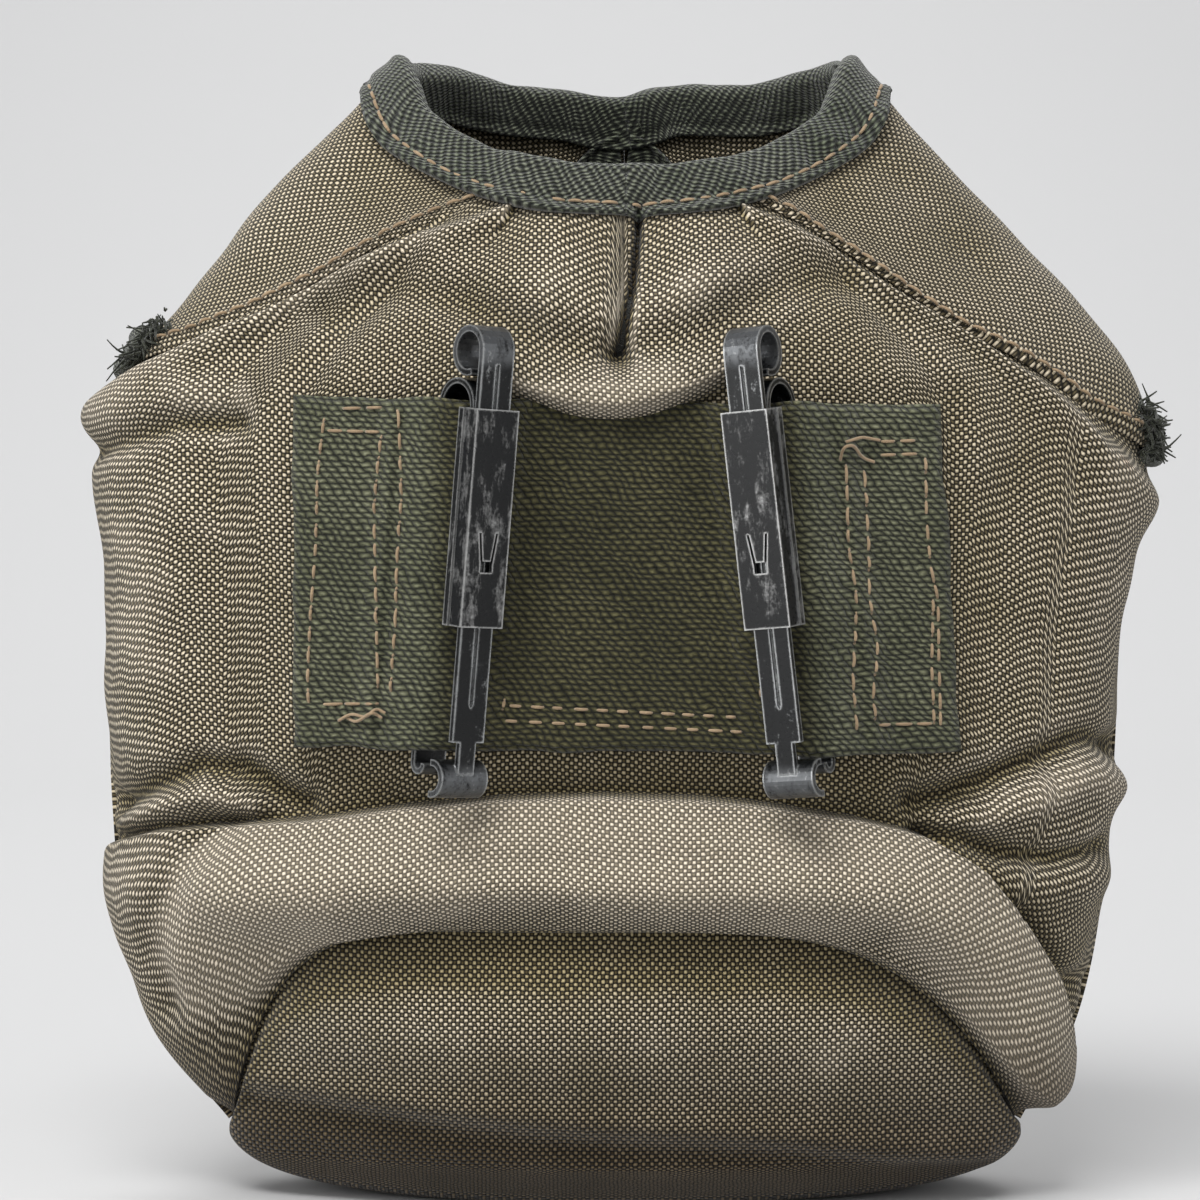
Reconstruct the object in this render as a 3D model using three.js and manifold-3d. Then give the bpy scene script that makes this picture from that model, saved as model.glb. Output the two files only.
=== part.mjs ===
// Belt-carried canvas cover for a one-quart water canteen, standing on its bottom.
// Millimetres, +Z up, +X to the wearer's right hand when seen from behind, -Y towards the belt.
// The whole pouch is one lofted form: angle 0 is the +X side, a half turn is the -X side, the belt
// side lies between a half and a full turn, and height runs from 0 at the bottom seam to 1 at the neck.
import * as THREE from 'three';
import { mergeVertices } from 'three/addons/utils/BufferGeometryUtils.js';
import Module from 'manifold-3d';

const wasm = await Module();
wasm.setup();

// ---- driving dimensions -------------------------------------------------------------------
const bodyHalfWidth = 88;
const backDepth = 35;
const frontDepth = 41;
const shoulderHeight = 134;
const neckHalfWidth = 40;
const neckBackDepth = 25;
const neckFrontDepth = 27;
const neckBackHeight = 174;
const neckFrontHeight = 188;
const neckPeakRise = 16;
const seamHalfWidth = 68;
const seamBackHeight = 47;
const seamSideHeight = 12;
const seamSquareness = { left: 5, right: 3 };
const gap = 0.3;

const canvasThickness = 1.4;
const liningThickness = 2.2;
const liningGap = 1;
const flapThickness = 1.6;
const flapStandoff = 3.4;
const bindingThickness = 1.0;
const neckBindingDepth = 8;
const edgeBindingDepth = 5;

const webbingThickness = 1.6;
const webbingEndThickness = 3.0;
const webbingHalfWidth = 54;
const webbingBottom = 79;
const webbingHeight = 57.5;
const webbingFlatHalfWidth = 19;
const tunnelHalfWidth = 8.2;
const tunnelShift = 0.8;

const stripWidth = 6.3;
const frameThickness = 1.0;
const slideThickness = 1.1;
const keeperGap = 7.6;
const frameLength = 65.1;
const sleeveWall = 0.8;
const sleeveLip = 0.3;
const sleeveLength = 35.4;
const sleeveBottom = 25;
const curlRadius = 3.6;
const slideTop = 69.6;
const hookRadius = 2.6;
const hookWidth = 9.2;
const neckWidth = 3.2;

const snapCapRadius = 7.4;
const snapStudRadius = 3.0;
const snapPostRadius = 1.9;
const eyeletBarrelRadius = 4.0;

const turn = Math.PI * 2;
const half = Math.PI;

// ---- materials ----------------------------------------------------------------------------
const finish = (color, roughness, metalness) =>
  new THREE.MeshStandardMaterial({ color, roughness, metalness });
const canvas = finish(0x8d7f66, 0.95, 0);
const lining = finish(0x2c2d27, 1.0, 0);
const tape = finish(0x5d6b58, 0.95, 0);
const strap = finish(0x545a40, 0.95, 0);
const blackSteel = finish(0x2a2b2d, 0.4, 0.9);
const blackBrass = finish(0x35322b, 0.45, 0.8);

// ---- helpers ------------------------------------------------------------------------------
const clamp01 = (value) => Math.min(1, Math.max(0, value));
const smooth = (value) => clamp01(value) ** 2 * (3 - 2 * clamp01(value));
const signedPower = (value, power) => Math.sign(value) * Math.abs(value) ** power;

// Turns a surface-with-thickness into one closed body. Side 0 is its outside and side 1 its inside.
function sheetSolid(pointAt, columns, rows) {
  const positions = [];
  const sideCount = (columns + 1) * (rows + 1);
  for (const side of [0, 1]) {
    for (let j = 0; j <= rows; j++) {
      for (let i = 0; i <= columns; i++) {
        positions.push(...pointAt(i / columns, j / rows, side).toArray());
      }
    }
  }
  const at = (i, j, side) => side * sideCount + j * (columns + 1) + i;
  const faces = [];
  const quad = (a, b, c, d) => faces.push(a, b, c, a, c, d);
  for (let j = 0; j < rows; j++) {
    for (let i = 0; i < columns; i++) {
      quad(at(i, j, 0), at(i + 1, j, 0), at(i + 1, j + 1, 0), at(i, j + 1, 0));
      quad(at(i, j, 1), at(i, j + 1, 1), at(i + 1, j + 1, 1), at(i + 1, j, 1));
    }
  }
  for (let i = 0; i < columns; i++) {
    quad(at(i, 0, 0), at(i, 0, 1), at(i + 1, 0, 1), at(i + 1, 0, 0));
    quad(at(i, rows, 0), at(i + 1, rows, 0), at(i + 1, rows, 1), at(i, rows, 1));
  }
  for (let j = 0; j < rows; j++) {
    quad(at(0, j, 0), at(0, j + 1, 0), at(0, j + 1, 1), at(0, j, 1));
    quad(at(columns, j, 0), at(columns, j, 1), at(columns, j + 1, 1), at(columns, j + 1, 0));
  }
  return outwards(positions, faces);
}

// Makes the faces point out, whichever way the surface was run.
function outwards(positions, faces) {
  const corner = (k) => new THREE.Vector3().fromArray(positions, 3 * faces[k]);
  let volume = 0;
  for (let k = 0; k < faces.length; k += 3) {
    volume += corner(k).dot(corner(k + 1).cross(corner(k + 2)));
  }
  if (volume < 0) faces.reverse();
  const geometry = new THREE.BufferGeometry();
  geometry.setAttribute('position', new THREE.Float32BufferAttribute(positions, 3));
  geometry.setIndex(faces);
  return geometry;
}

function toSolid(geometry) {
  const bare = geometry.clone();
  bare.deleteAttribute('normal');
  bare.deleteAttribute('uv');
  const merged = mergeVertices(bare, 1e-4);
  return new wasm.Manifold(new wasm.Mesh({
    numProp: 3,
    vertProperties: new Float32Array(merged.attributes.position.array),
    triVerts: new Uint32Array(merged.index.array),
  }));
}

function toGeometry(solid) {
  const mesh = solid.getMesh();
  const geometry = new THREE.BufferGeometry();
  geometry.setAttribute('position', new THREE.BufferAttribute(mesh.vertProperties, 3));
  geometry.setIndex(new THREE.BufferAttribute(mesh.triVerts, 1));
  return geometry;
}

const cut = (geometry, ...tools) =>
  toGeometry(tools.reduce((solid, tool) => solid.subtract(toSolid(tool)), toSolid(geometry)));
const join = (first, ...others) =>
  toGeometry(others.reduce((solid, other) => solid.add(toSolid(other)), toSolid(first)));

const product = new THREE.Group();
function addNode(name, geometry, material, parent = product) {
  const mesh = new THREE.Mesh(geometry, material);
  mesh.name = name;
  parent.add(mesh);
  return mesh;
}

// ---- the pouch's form ---------------------------------------------------------------------
// Each level gives half width, belt-side depth, front depth, height and roundness at an angle.
const sideways = (angle) => Math.abs(Math.cos(angle));
const facesBelt = (angle) => Math.sin(angle) < 0;

function levelHeights(angle) {
  const middle = 1 - sideways(angle) ** (Math.cos(angle) < 0 ? seamSquareness.left : seamSquareness.right);
  const beltRise = facesBelt(angle) ? (seamBackHeight - seamSideHeight) * middle : 0;
  const seamHeight = seamSideHeight + beltRise;
  const rollHeight = seamSideHeight + 20 + beltRise * 0.66;
  const neckHeight = facesBelt(angle)
    ? neckBackHeight + neckPeakRise * sideways(angle) ** 3
    : neckFrontHeight + (neckBackHeight + neckPeakRise - neckFrontHeight) * sideways(angle) ** 2;
  return [seamHeight, rollHeight, shoulderHeight * 0.49, shoulderHeight * 0.75, shoulderHeight,
    shoulderHeight + (neckHeight - shoulderHeight) * 0.5, neckHeight];
}

const upperHalfWidth = (bodyHalfWidth + neckHalfWidth) / 2 + 2;
const levelWidths = [seamHalfWidth, bodyHalfWidth - 5, bodyHalfWidth, bodyHalfWidth,
  bodyHalfWidth, upperHalfWidth, neckHalfWidth];
const levelBacks = [backDepth - 3, backDepth + 4.5, backDepth, backDepth, backDepth,
  (backDepth + neckBackDepth) / 2 + 2, neckBackDepth];
const levelFronts = [frontDepth - 6, frontDepth - 1, frontDepth, frontDepth, frontDepth - 1,
  (frontDepth + neckFrontDepth) / 2 + 1, neckFrontDepth];
const levelPowers = [0.8, 0.8, 0.8, 0.8, 0.8, 0.88, 1];

function columnPoints(angle) {
  return levelHeights(angle).map((z, k) => {
    const depth = facesBelt(angle) ? levelBacks[k] : levelFronts[k];
    return new THREE.Vector3(
      levelWidths[k] * signedPower(Math.cos(angle), levelPowers[k]),
      depth * signedPower(Math.sin(angle), levelPowers[k]),
      z,
    );
  });
}

// A smooth curve up the side of the pouch through its levels, by uniform Catmull-Rom pieces.
function columnPoint(angle, height) {
  const points = columnPoints(angle);
  const last = points.length - 1;
  const run = height * last;
  const k = Math.min(last - 1, Math.max(0, Math.floor(run)));
  const s = run - k;
  const before = points[k - 1] ?? points[0].clone().multiplyScalar(2).sub(points[1]);
  const after = points[k + 2] ?? points[last].clone().multiplyScalar(2).sub(points[last - 1]);
  const [a, b] = [points[k], points[k + 1]];
  const blend = (key) => 0.5 * (2 * a[key] + (b[key] - before[key]) * s
    + (2 * before[key] - 5 * a[key] + 4 * b[key] - after[key]) * s * s
    + (3 * a[key] - before[key] - 3 * b[key] + after[key]) * s * s * s);
  return new THREE.Vector3(blend('x'), blend('y'), blend('z'));
}

const probe = 0.004;
function pouchNormal(angle, height) {
  const round = columnPoint(angle + probe, height).sub(columnPoint(angle - probe, height));
  const up = columnPoint(angle, height + probe).sub(columnPoint(angle, height - probe));
  return round.cross(up).normalize();
}

const pouchPoint = (angle, height, offset) =>
  columnPoint(angle, height).addScaledVector(pouchNormal(angle, height), offset);

// The bottom covers a square from -1 to 1 both ways. Its rim turns down and in from the seam to a
// flat rectangular foot, which has a dish at its middle for the eyelet.
const footShare = 0.5;
const footHalfWidth = 36;
const footHalfDepth = 14;
const dishDepth = 1.2;
const dishRadius = 7.5;
const dishEdge = 5;
const reachOf = (a, b) => Math.max(Math.abs(a), Math.abs(b));
const rimShare = (a, b) => Math.max(0, (reachOf(a, b) - footShare) / (1 - footShare));
const roundAngle = (a, b) => Math.atan2(b * Math.sqrt(1 - a * a / 2), a * Math.sqrt(1 - b * b / 2));
function bottomPoint(a, b) {
  const spread = Math.max(reachOf(a, b), footShare);
  const seam = columnPoint(roundAngle(a / spread, b / spread), 0);
  const bend = (1 - rimShare(a, b)) * half / 2;
  const share = rimShare(a, b) > 0 ? Math.cos(bend) ** 0.8 : 0;
  const footX = a / spread * footHalfWidth;
  const footY = b / spread * footHalfDepth;
  const point = new THREE.Vector3(footX + (seam.x - footX) * share, footY + (seam.y - footY) * share,
    seam.z * (1 - Math.sin(bend) ** 0.8));
  point.z += dishDepth * smooth(1 - (Math.hypot(point.x, point.y) - dishRadius) / dishEdge);
  return point;
}

function bottomSheet(top, thickness, edge, cells) {
  const pointAt = (u, v, side) => {
    const a = (2 * u - 1) * edge;
    const b = (2 * v - 1) * edge;
    const angle = roundAngle(a, b);
    const rim = rimShare(a, b);
    const inward = new THREE.Vector3(-Math.cos(angle) * rim ** 1.5, -Math.sin(angle) * rim ** 1.5,
      1 - rim * 0.9);
    return bottomPoint(a, b).addScaledVector(inward.normalize(), top + side * thickness);
  };
  return sheetSolid(pointAt, cells, cells);
}

// ---- panels -------------------------------------------------------------------------------
const seamGap = 0.008;
const sideGap = 0.006;
const liningSideGap = 0.03;
const neckShare = 0.5;

// Where the belt-side panel stops: at the neck in the middle, at the shoulder seams to each side.
const shoulderSeam = (angle) =>
  1 - 0.32 * Math.max(0, (sideways(angle) - neckShare) / (1 - neckShare));
const frontTop = (angle) => 0.86 - 0.205 * smooth((sideways(angle) - 0.6) / 0.4);
const flapEdge = (angle) => 0.56 + 0.37 * Math.exp(-((sideways(angle) / 0.28) ** 2))
  + 0.13 * smooth((sideways(angle) - 0.6) / 0.4);
const flapLift = (angle) => flapStandoff * smooth((1 - sideways(angle)) / 0.15);

function panel(range, bottom, top, offsets, columns, rows) {
  const pointAt = (u, v, side) => {
    const angle = range[0] + (range[1] - range[0]) * u;
    const low = bottom(angle);
    const height = low + (top(angle) - low) * v;
    return pouchPoint(angle, height, offsets(angle)[side]);
  };
  return sheetSolid(pointAt, columns, rows);
}

const canvasOffsets = () => [0, -canvasThickness];
const liningOuter = -canvasThickness - liningGap;
const liningOffsets = () => [liningOuter, liningOuter - liningThickness];
const flapOffsets = (angle) => [flapLift(angle) + flapThickness, flapLift(angle)];
const constant = (value) => () => value;

const beltSide = [half + sideGap, turn - sideGap];
const frontSide = [sideGap, half - sideGap];
const beltLiningSide = [half + liningSideGap, turn - liningSideGap];
const frontLiningSide = [liningSideGap, half - liningSideGap];
const liningTop = (edge) => (angle) => Math.min(edge(angle) - 0.075, 0.92);

addNode('back_panel', panel(beltSide, constant(seamGap), (angle) => shoulderSeam(angle) - 0.002,
  canvasOffsets, 24, 14), canvas);
addNode('back_lining', panel(beltLiningSide, constant(0.04), liningTop(shoulderSeam),
  liningOffsets, 24, 10), lining);

// ---- snap fasteners: cap and socket on the flap, stud and post on the front panel ----------
const snapHeight = 0.7;
const snapSide = 0.52;
const snapAngles = { left: half - Math.acos(snapSide), right: Math.acos(snapSide) };
const stackTop = flapStandoff + flapThickness;

// A group whose +Z is the pouch's outward normal at a snap, with its origin on the panel.
function snapFrame(side) {
  const angle = snapAngles[side];
  const frame = new THREE.Group();
  frame.position.copy(columnPoint(angle, snapHeight));
  frame.quaternion.setFromUnitVectors(new THREE.Vector3(0, 0, 1), pouchNormal(angle, snapHeight));
  frame.updateMatrix();
  return frame;
}

const snapSides = 16;
const lathe = (profile, segments = snapSides) => new THREE.LatheGeometry(
  profile.map(([radius, height]) => new THREE.Vector2(radius, height)), segments,
).rotateX(half / 2);

const postHole = (side) => {
  const tool = new THREE.CylinderGeometry(snapPostRadius + gap, snapPostRadius + gap, 24, snapSides);
  return tool.rotateX(half / 2).applyMatrix4(snapFrame(side).matrix);
};
const postHoles = [postHole('left'), postHole('right')];

addNode('front_panel', cut(panel(frontSide, constant(seamGap), frontTop, canvasOffsets, 24, 12),
  ...postHoles), canvas);
addNode('front_lining', cut(panel(frontLiningSide, constant(0.04), liningTop(frontTop),
  liningOffsets, 24, 10), ...postHoles), lining);

const liningInner = liningOuter - liningThickness;
const postBase = liningInner - 1.2;
const postProfile = [[0, postBase - 0.7], [5, postBase - 0.7], [5, postBase], [snapPostRadius, postBase],
  [snapPostRadius, 2.2], [0, 2.2]];
const studProfile = [[snapPostRadius + gap, gap], [5.4, gap], [5.4, 0.8], [snapStudRadius, 0.8],
  [snapStudRadius, 2.4], [snapStudRadius - 0.4, 2.9], [snapPostRadius + gap, 2.9],
  [snapPostRadius + gap, gap]];
const socketProfile = [[snapStudRadius + gap, 1.1], [5.6, 1.1], [6, 1.5], [6, flapStandoff - 0.8],
  [snapStudRadius + gap, flapStandoff - 0.8], [snapStudRadius + gap, 1.1]];
const capProfile = [[0, flapStandoff], [snapPostRadius, flapStandoff],
  [snapPostRadius, stackTop + gap], [snapCapRadius - 0.3, stackTop + gap],
  [snapCapRadius, stackTop + gap + 0.4], [snapCapRadius - 0.5, stackTop + 1.2],
  [snapCapRadius - 2.4, stackTop + 1.9], [0, stackTop + 2.3]];

for (const side of ['left', 'right']) {
  const frame = snapFrame(side);
  product.add(frame);
  addNode(`snap_post_${side}`, lathe(postProfile), blackBrass, frame);
  addNode(`snap_stud_${side}`, lathe(studProfile), blackBrass, frame);
  addNode(`snap_socket_${side}`, lathe(socketProfile), blackBrass, frame);
  addNode(`snap_cap_${side}`, lathe(capProfile), blackBrass, frame);
}

// ---- shoulders on the belt side and flaps on the front, left and right ----------------------
const shoulderStart = 0.58;
const flapStart = 0.07;
const foldGap = 0.01;
const backAngle = (side, share) =>
  (side === 'left' ? half + Math.acos(share) : turn - Math.acos(share));
const frontAngle = (side, share) => (side === 'left' ? half - Math.acos(share) : Math.acos(share));
const foldAngle = { left: half, right: turn };
const frontFold = { left: half - foldGap, right: foldGap };

for (const side of ['left', 'right']) {
  const fold = foldAngle[side] + (side === 'left' ? foldGap : -foldGap);
  addNode(`shoulder_${side}`, panel([fold, backAngle(side, shoulderStart)],
    (angle) => shoulderSeam(angle) + 0.004, constant(1), canvasOffsets, 12, 8), canvas);
  addNode(`flap_${side}`, cut(panel([frontFold[side], frontAngle(side, flapStart)], flapEdge,
    constant(1), flapOffsets, 20, 10), postHole(side)), canvas);
}

// ---- bindings: tape folded over an edge and stitched through --------------------------------
// The tape lies along the panel's outside, turns over its edge and lies along its inside.
const tapeStations = [[1, 0], [0.5, 0], [0, 0], [0, 0.25], [0, 0.5], [0, 0.75], [0, 1], [0.5, 1], [1, 1]];
function binding(edgeAt, offsets, depth, outward, columns) {
  const clearance = gap + 0.2;
  const rows = tapeStations.length - 1;
  const pointAt = (u, v, side) => {
    const { angle, height } = edgeAt(u);
    const [down, bend] = tapeStations[Math.round(v * rows)];
    const round = columnPoint(angle + probe, height).sub(columnPoint(angle - probe, height))
      .divideScalar(2 * probe);
    const up = columnPoint(angle, height + probe).sub(columnPoint(angle, height - probe))
      .divideScalar(2 * probe);
    const normal = round.clone().cross(up).normalize();
    const ahead = edgeAt(u + probe);
    const behind = edgeAt(u - probe);
    const along = columnPoint(ahead.angle, ahead.height).sub(columnPoint(behind.angle, behind.height));
    const away = normal.clone().cross(along).normalize().multiplyScalar(outward);
    const step = away.clone().multiplyScalar(-down * depth);
    const [angleStep, heightStep] = solvePair(round, up, step);
    const [outer, inner] = offsets(angle + angleStep);
    const reach = (outer - inner) / 2 + clearance + (side === 0 ? bindingThickness : 0);
    const crown = clearance + (side === 0 ? bindingThickness : 0);
    return pouchPoint(angle + angleStep, height + heightStep,
      (outer + inner) / 2 + reach * Math.cos(half * bend))
      .addScaledVector(away, crown * Math.sin(half * bend));
  };
  return sheetSolid(pointAt, columns, rows);
}

// The two shares of vectors a and b that make up a step lying in their plane.
function solvePair(a, b, step) {
  const [aa, ab, bb] = [a.dot(a), a.dot(b), b.dot(b)];
  const [as, bs] = [a.dot(step), b.dot(step)];
  const scale = aa * bb - ab * ab;
  return [(as * bb - bs * ab) / scale, (bs * aa - as * ab) / scale];
}

const along = (start, end, height) => (u) => {
  const angle = start + (end - start) * u;
  return { angle, height: height(angle) };
};
const peak = 0.02;
addNode('neck_binding', binding(along(half + peak, turn - peak, constant(1)), canvasOffsets,
  neckBindingDepth, 1, 30), tape);
addNode('front_panel_binding', binding(along(Math.acos(0.8), half - Math.acos(0.8), frontTop),
  canvasOffsets, edgeBindingDepth, 1, 24), tape);
for (const side of ['left', 'right']) {
  const runsOn = side === 'left' ? -1 : 1;
  const start = side === 'left' ? half - peak : peak;
  addNode(`flap_neck_binding_${side}`, binding(along(start, frontAngle(side, flapStart + 0.01),
    constant(1)), flapOffsets, edgeBindingDepth, runsOn, 18), tape);
  const clearOfFold = side === 'left' ? half - 0.34 : 0.34;
  addNode(`flap_edge_binding_${side}`, binding(along(clearOfFold, frontAngle(side, 0.2), flapEdge),
    flapOffsets, edgeBindingDepth, -runsOn, 22), tape);
}

// ---- bottom with its lining and drain eyelet ------------------------------------------------
const eyeletHole = new THREE.CylinderGeometry(eyeletBarrelRadius + gap, eyeletBarrelRadius + gap, 40,
  snapSides).rotateX(half / 2);
addNode('bottom_panel', cut(bottomSheet(0, canvasThickness, 1 - seamGap, 16), eyeletHole), canvas);
addNode('bottom_lining', cut(bottomSheet(canvasThickness + 2 * liningGap, liningThickness, 0.9, 16),
  eyeletHole), lining);
const eyeletTop = dishDepth + canvasThickness + 2 * liningGap + liningThickness + 1.6;
const eyeletProfile = [[eyeletBarrelRadius - 0.8, 0.15], [6.2, 0.15], [6.2, 0.7],
  [eyeletBarrelRadius, 0.7], [eyeletBarrelRadius, eyeletTop], [eyeletBarrelRadius - 0.8, eyeletTop],
  [eyeletBarrelRadius - 0.8, 0.15]];
const washerProfile = [[eyeletBarrelRadius + gap, eyeletTop - 1], [6.6, eyeletTop - 1],
  [6.6, eyeletTop - 0.4], [eyeletBarrelRadius + gap, eyeletTop - 0.4],
  [eyeletBarrelRadius + gap, eyeletTop - 1]];
addNode('drain_eyelet', lathe(eyeletProfile), blackBrass);
addNode('drain_washer', lathe(washerProfile), blackBrass);

// ---- belt webbing: sewn down at its ends and middle, standing off over two tunnels -----------
// Depth of the belt-side panel at a place, found by walking over the lofted form.
function backSurface(x, z) {
  let angle = half * 1.5;
  let height = 0.5;
  for (let step = 0; step < 30; step++) {
    const here = columnPoint(angle, height);
    angle += (x - here.x) / bodyHalfWidth * 0.8;
    height += (z - here.z) / (neckBackHeight - seamBackHeight) * 0.7;
  }
  return columnPoint(angle, height).y;
}

// Each keeper is turned about its length and leans sideways, in degrees; its tunnel leans with it.
const keepers = {
  left: { place: -30, yaw: 38, lean: 4.6 },
  right: { place: 27.8, yaw: -31, lean: -6.4 },
};
const keeperHeight = webbingBottom + webbingHeight / 2;
const rearLegStandoff = 3.4;
const tunnelDepth = 2 * rearLegStandoff - gap;
const flatDepth = backSurface(0, webbingBottom + webbingHeight / 2);
function webbingHeights(x, z) {
  const { place, lean } = x < 0 ? keepers.left : keepers.right;
  const middle = place + Math.sign(place) * tunnelShift
    + Math.tan(THREE.MathUtils.degToRad(lean)) * (z - keeperHeight);
  const across = Math.abs(x - middle) / tunnelHalfWidth;
  const arch = Math.max(0, 1 - across ** 5);
  const under = gap + (tunnelDepth - gap) * arch;
  const end = smooth((Math.abs(x) - Math.abs(place) - tunnelHalfWidth + 1) / 2);
  return [under + webbingThickness + (webbingEndThickness - webbingThickness) * end, under];
}

// Depth that the webbing is measured from: one flat face between the tunnels, the panel elsewhere.
function webbingBase(x, z) {
  const toPanel = smooth((Math.abs(x) - webbingFlatHalfWidth) / 3);
  return flatDepth + (backSurface(x, z) - flatDepth) * toPanel;
}

addNode('belt_webbing', sheetSolid((u, v, side) => {
  const x = webbingHalfWidth * (2 * u - 1);
  const z = webbingBottom + webbingHeight * v;
  return new THREE.Vector3(x, webbingBase(x, z) - webbingHeights(x, z)[side], z);
}, 54, 6), strap);

// ---- keepers: frame, sleeve and slide of each belt clip --------------------------------------
// Each strip is drawn from the side, as (depth, height) with the belt side to the left.
function strip(route, thickness, width) {
  const points = route.getPoints(8);
  const offset = (k, side) => {
    const tangent = points[Math.min(k + 1, points.length - 1)].clone()
      .sub(points[Math.max(k - 1, 0)]).normalize();
    return new THREE.Vector2(points[k].x - tangent.y * side, points[k].y + tangent.x * side);
  };
  const left = points.map((_, k) => offset(k, thickness / 2));
  const right = points.map((_, k) => offset(k, -thickness / 2)).reverse();
  const geometry = new THREE.ExtrudeGeometry(new THREE.Shape([...left, ...right]),
    { depth: width, bevelEnabled: false, curveSegments: 1 });
  const toSide = new THREE.Matrix4().set(0, 0, 1, -width / 2, 1, 0, 0, 0, 0, 1, 0, 0, 0, 0, 0, 1);
  return geometry.applyMatrix4(toSide);
}

const slideDepth = -hookRadius - 1.6;
const frontLegDepth = slideDepth + slideThickness / 2 + gap + frameThickness / 2;
const rearLegDepth = frontLegDepth + keeperGap + frameThickness;
const bendRadius = (rearLegDepth - frontLegDepth) / 2;
const bendHeight = frameLength - bendRadius - frameThickness / 2;

function frameRoute() {
  const route = new THREE.Path();
  const catchRadius = 1.4;
  const catchCentre = catchRadius + frameThickness / 2;
  const catchDepth = rearLegDepth - 2 * catchRadius;
  route.moveTo(catchDepth, catchCentre + 0.4);
  route.absarc(rearLegDepth - catchRadius, catchCentre, catchRadius, half, turn, false);
  route.lineTo(rearLegDepth, bendHeight);
  route.absarc(frontLegDepth + bendRadius, bendHeight, bendRadius, 0, half, false);
  route.lineTo(frontLegDepth, sleeveBottom + 2);
  return route;
}

function slideRoute() {
  const route = new THREE.Path();
  route.moveTo(slideDepth, 2 * hookRadius + 1);
  route.lineTo(slideDepth, slideTop);
  route.absarc(slideDepth + curlRadius, slideTop, curlRadius, half, -0.62 * half, true);
  return route;
}

function hookRoute() {
  const route = new THREE.Path();
  route.absarc(slideDepth + hookRadius, 0, hookRadius, half * 0.44, half * 1.56, false);
  return route;
}

function neckRoute() {
  const route = new THREE.Path();
  route.moveTo(slideDepth, hookRadius * 0.4);
  route.lineTo(slideDepth, 2 * hookRadius + 2);
  return route;
}

const sleeveInnerHalf = stripWidth / 2 + gap;
const sleeveFront = slideDepth - slideThickness / 2 - gap;
const sleeveRear = frontLegDepth + frameThickness / 2 + gap;
const windowTop = sleeveBottom + 15.4;
const windowLength = 6.4;
const tongueLength = 5;
const tongueTip = 0.8;
const tongueRoot = 1.5;

const polygon = (points) => new THREE.Shape(points.map(([x, y]) => new THREE.Vector2(x, y)));
const rectangle = (halfWidth, front, rear) =>
  [[-halfWidth, front], [halfWidth, front], [halfWidth, rear], [-halfWidth, rear]];

// A slab cut to an outline of (width, height) points, from one depth to another.
const plate = (points, front, rear) => new THREE.ExtrudeGeometry(polygon(points),
  { depth: rear - front, bevelEnabled: false }).rotateX(half / 2).translate(0, rear, 0);

// The sleeve is a folded tube with a proud lip along its rear edges, and has a punched tongue that
// drops behind its front wall's window to grip the slide.
function sleeveGeometry() {
  const tubeOf = (points) => new THREE.ExtrudeGeometry(polygon(points),
    { depth: sleeveLength, bevelEnabled: false }).translate(0, 0, sleeveBottom);
  const outer = tubeOf(rectangle(sleeveInnerHalf + sleeveWall, sleeveFront - sleeveWall,
    sleeveRear + sleeveWall));
  const lip = tubeOf(rectangle(sleeveInnerHalf + sleeveWall + sleeveLip, sleeveRear - 0.6,
    sleeveRear + sleeveWall));
  const inside = new THREE.BoxGeometry(2 * sleeveInnerHalf, sleeveRear - sleeveFront, 2 * sleeveLength)
    .translate(0, (sleeveFront + sleeveRear) / 2, sleeveBottom + sleeveLength / 2);
  const clearance = 0.4;
  const windowTip = tongueTip + clearance;
  const windowRoot = tongueRoot + clearance;
  const window = plate([[-windowRoot, windowTop], [-windowTip, windowTop - tongueLength],
    [-windowTip, windowTop - windowLength], [windowTip, windowTop - windowLength],
    [windowTip, windowTop - tongueLength], [windowRoot, windowTop]],
  sleeveFront - sleeveWall - 1, sleeveFront + 0.2);
  const tongue = plate([[-tongueRoot, windowTop + 0.2], [-tongueTip, windowTop - tongueLength + 0.4],
    [tongueTip, windowTop - tongueLength + 0.4], [tongueRoot, windowTop + 0.2]],
  sleeveFront - sleeveWall, sleeveFront - 0.1);
  return join(cut(join(outer, lip), inside, window), tongue);
}

// The slide is one strip, curled over at the top, with a groove pressed down its front and a narrow
// neck above its wider bottom hook.
const grooveHalfWidth = 0.35;
const grooveDepth = 0.35;
const grooveBottom = 12.4;
function slideGeometry() {
  const front = slideDepth - slideThickness / 2;
  const groove = plate([[-grooveHalfWidth, slideTop - 2], [-grooveHalfWidth, grooveBottom],
    [0, grooveBottom - 0.6], [grooveHalfWidth, grooveBottom], [grooveHalfWidth, slideTop - 2]],
  front - 1, front + grooveDepth);
  return cut(join(strip(slideRoute(), slideThickness, stripWidth),
    strip(neckRoute(), slideThickness, neckWidth), strip(hookRoute(), slideThickness, hookWidth)),
  groove);
}

const keeperMiddle = frameLength / 2;
for (const [name, { place, yaw, lean }] of Object.entries(keepers)) {
  const holder = new THREE.Group();
  holder.position.set(place, backSurface(place, keeperHeight) - rearLegStandoff, keeperHeight);
  holder.rotation.set(0, THREE.MathUtils.degToRad(lean), THREE.MathUtils.degToRad(yaw));
  const keeper = new THREE.Group();
  keeper.position.set(0, -rearLegDepth, -keeperMiddle);
  holder.add(keeper);
  product.add(holder);
  addNode(`keeper_frame_${name}`, strip(frameRoute(), frameThickness, stripWidth), blackSteel, keeper);
  addNode(`keeper_sleeve_${name}`, sleeveGeometry(), blackSteel, keeper);
  addNode(`keeper_slide_${name}`, slideGeometry(), blackSteel, keeper);
}

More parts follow.
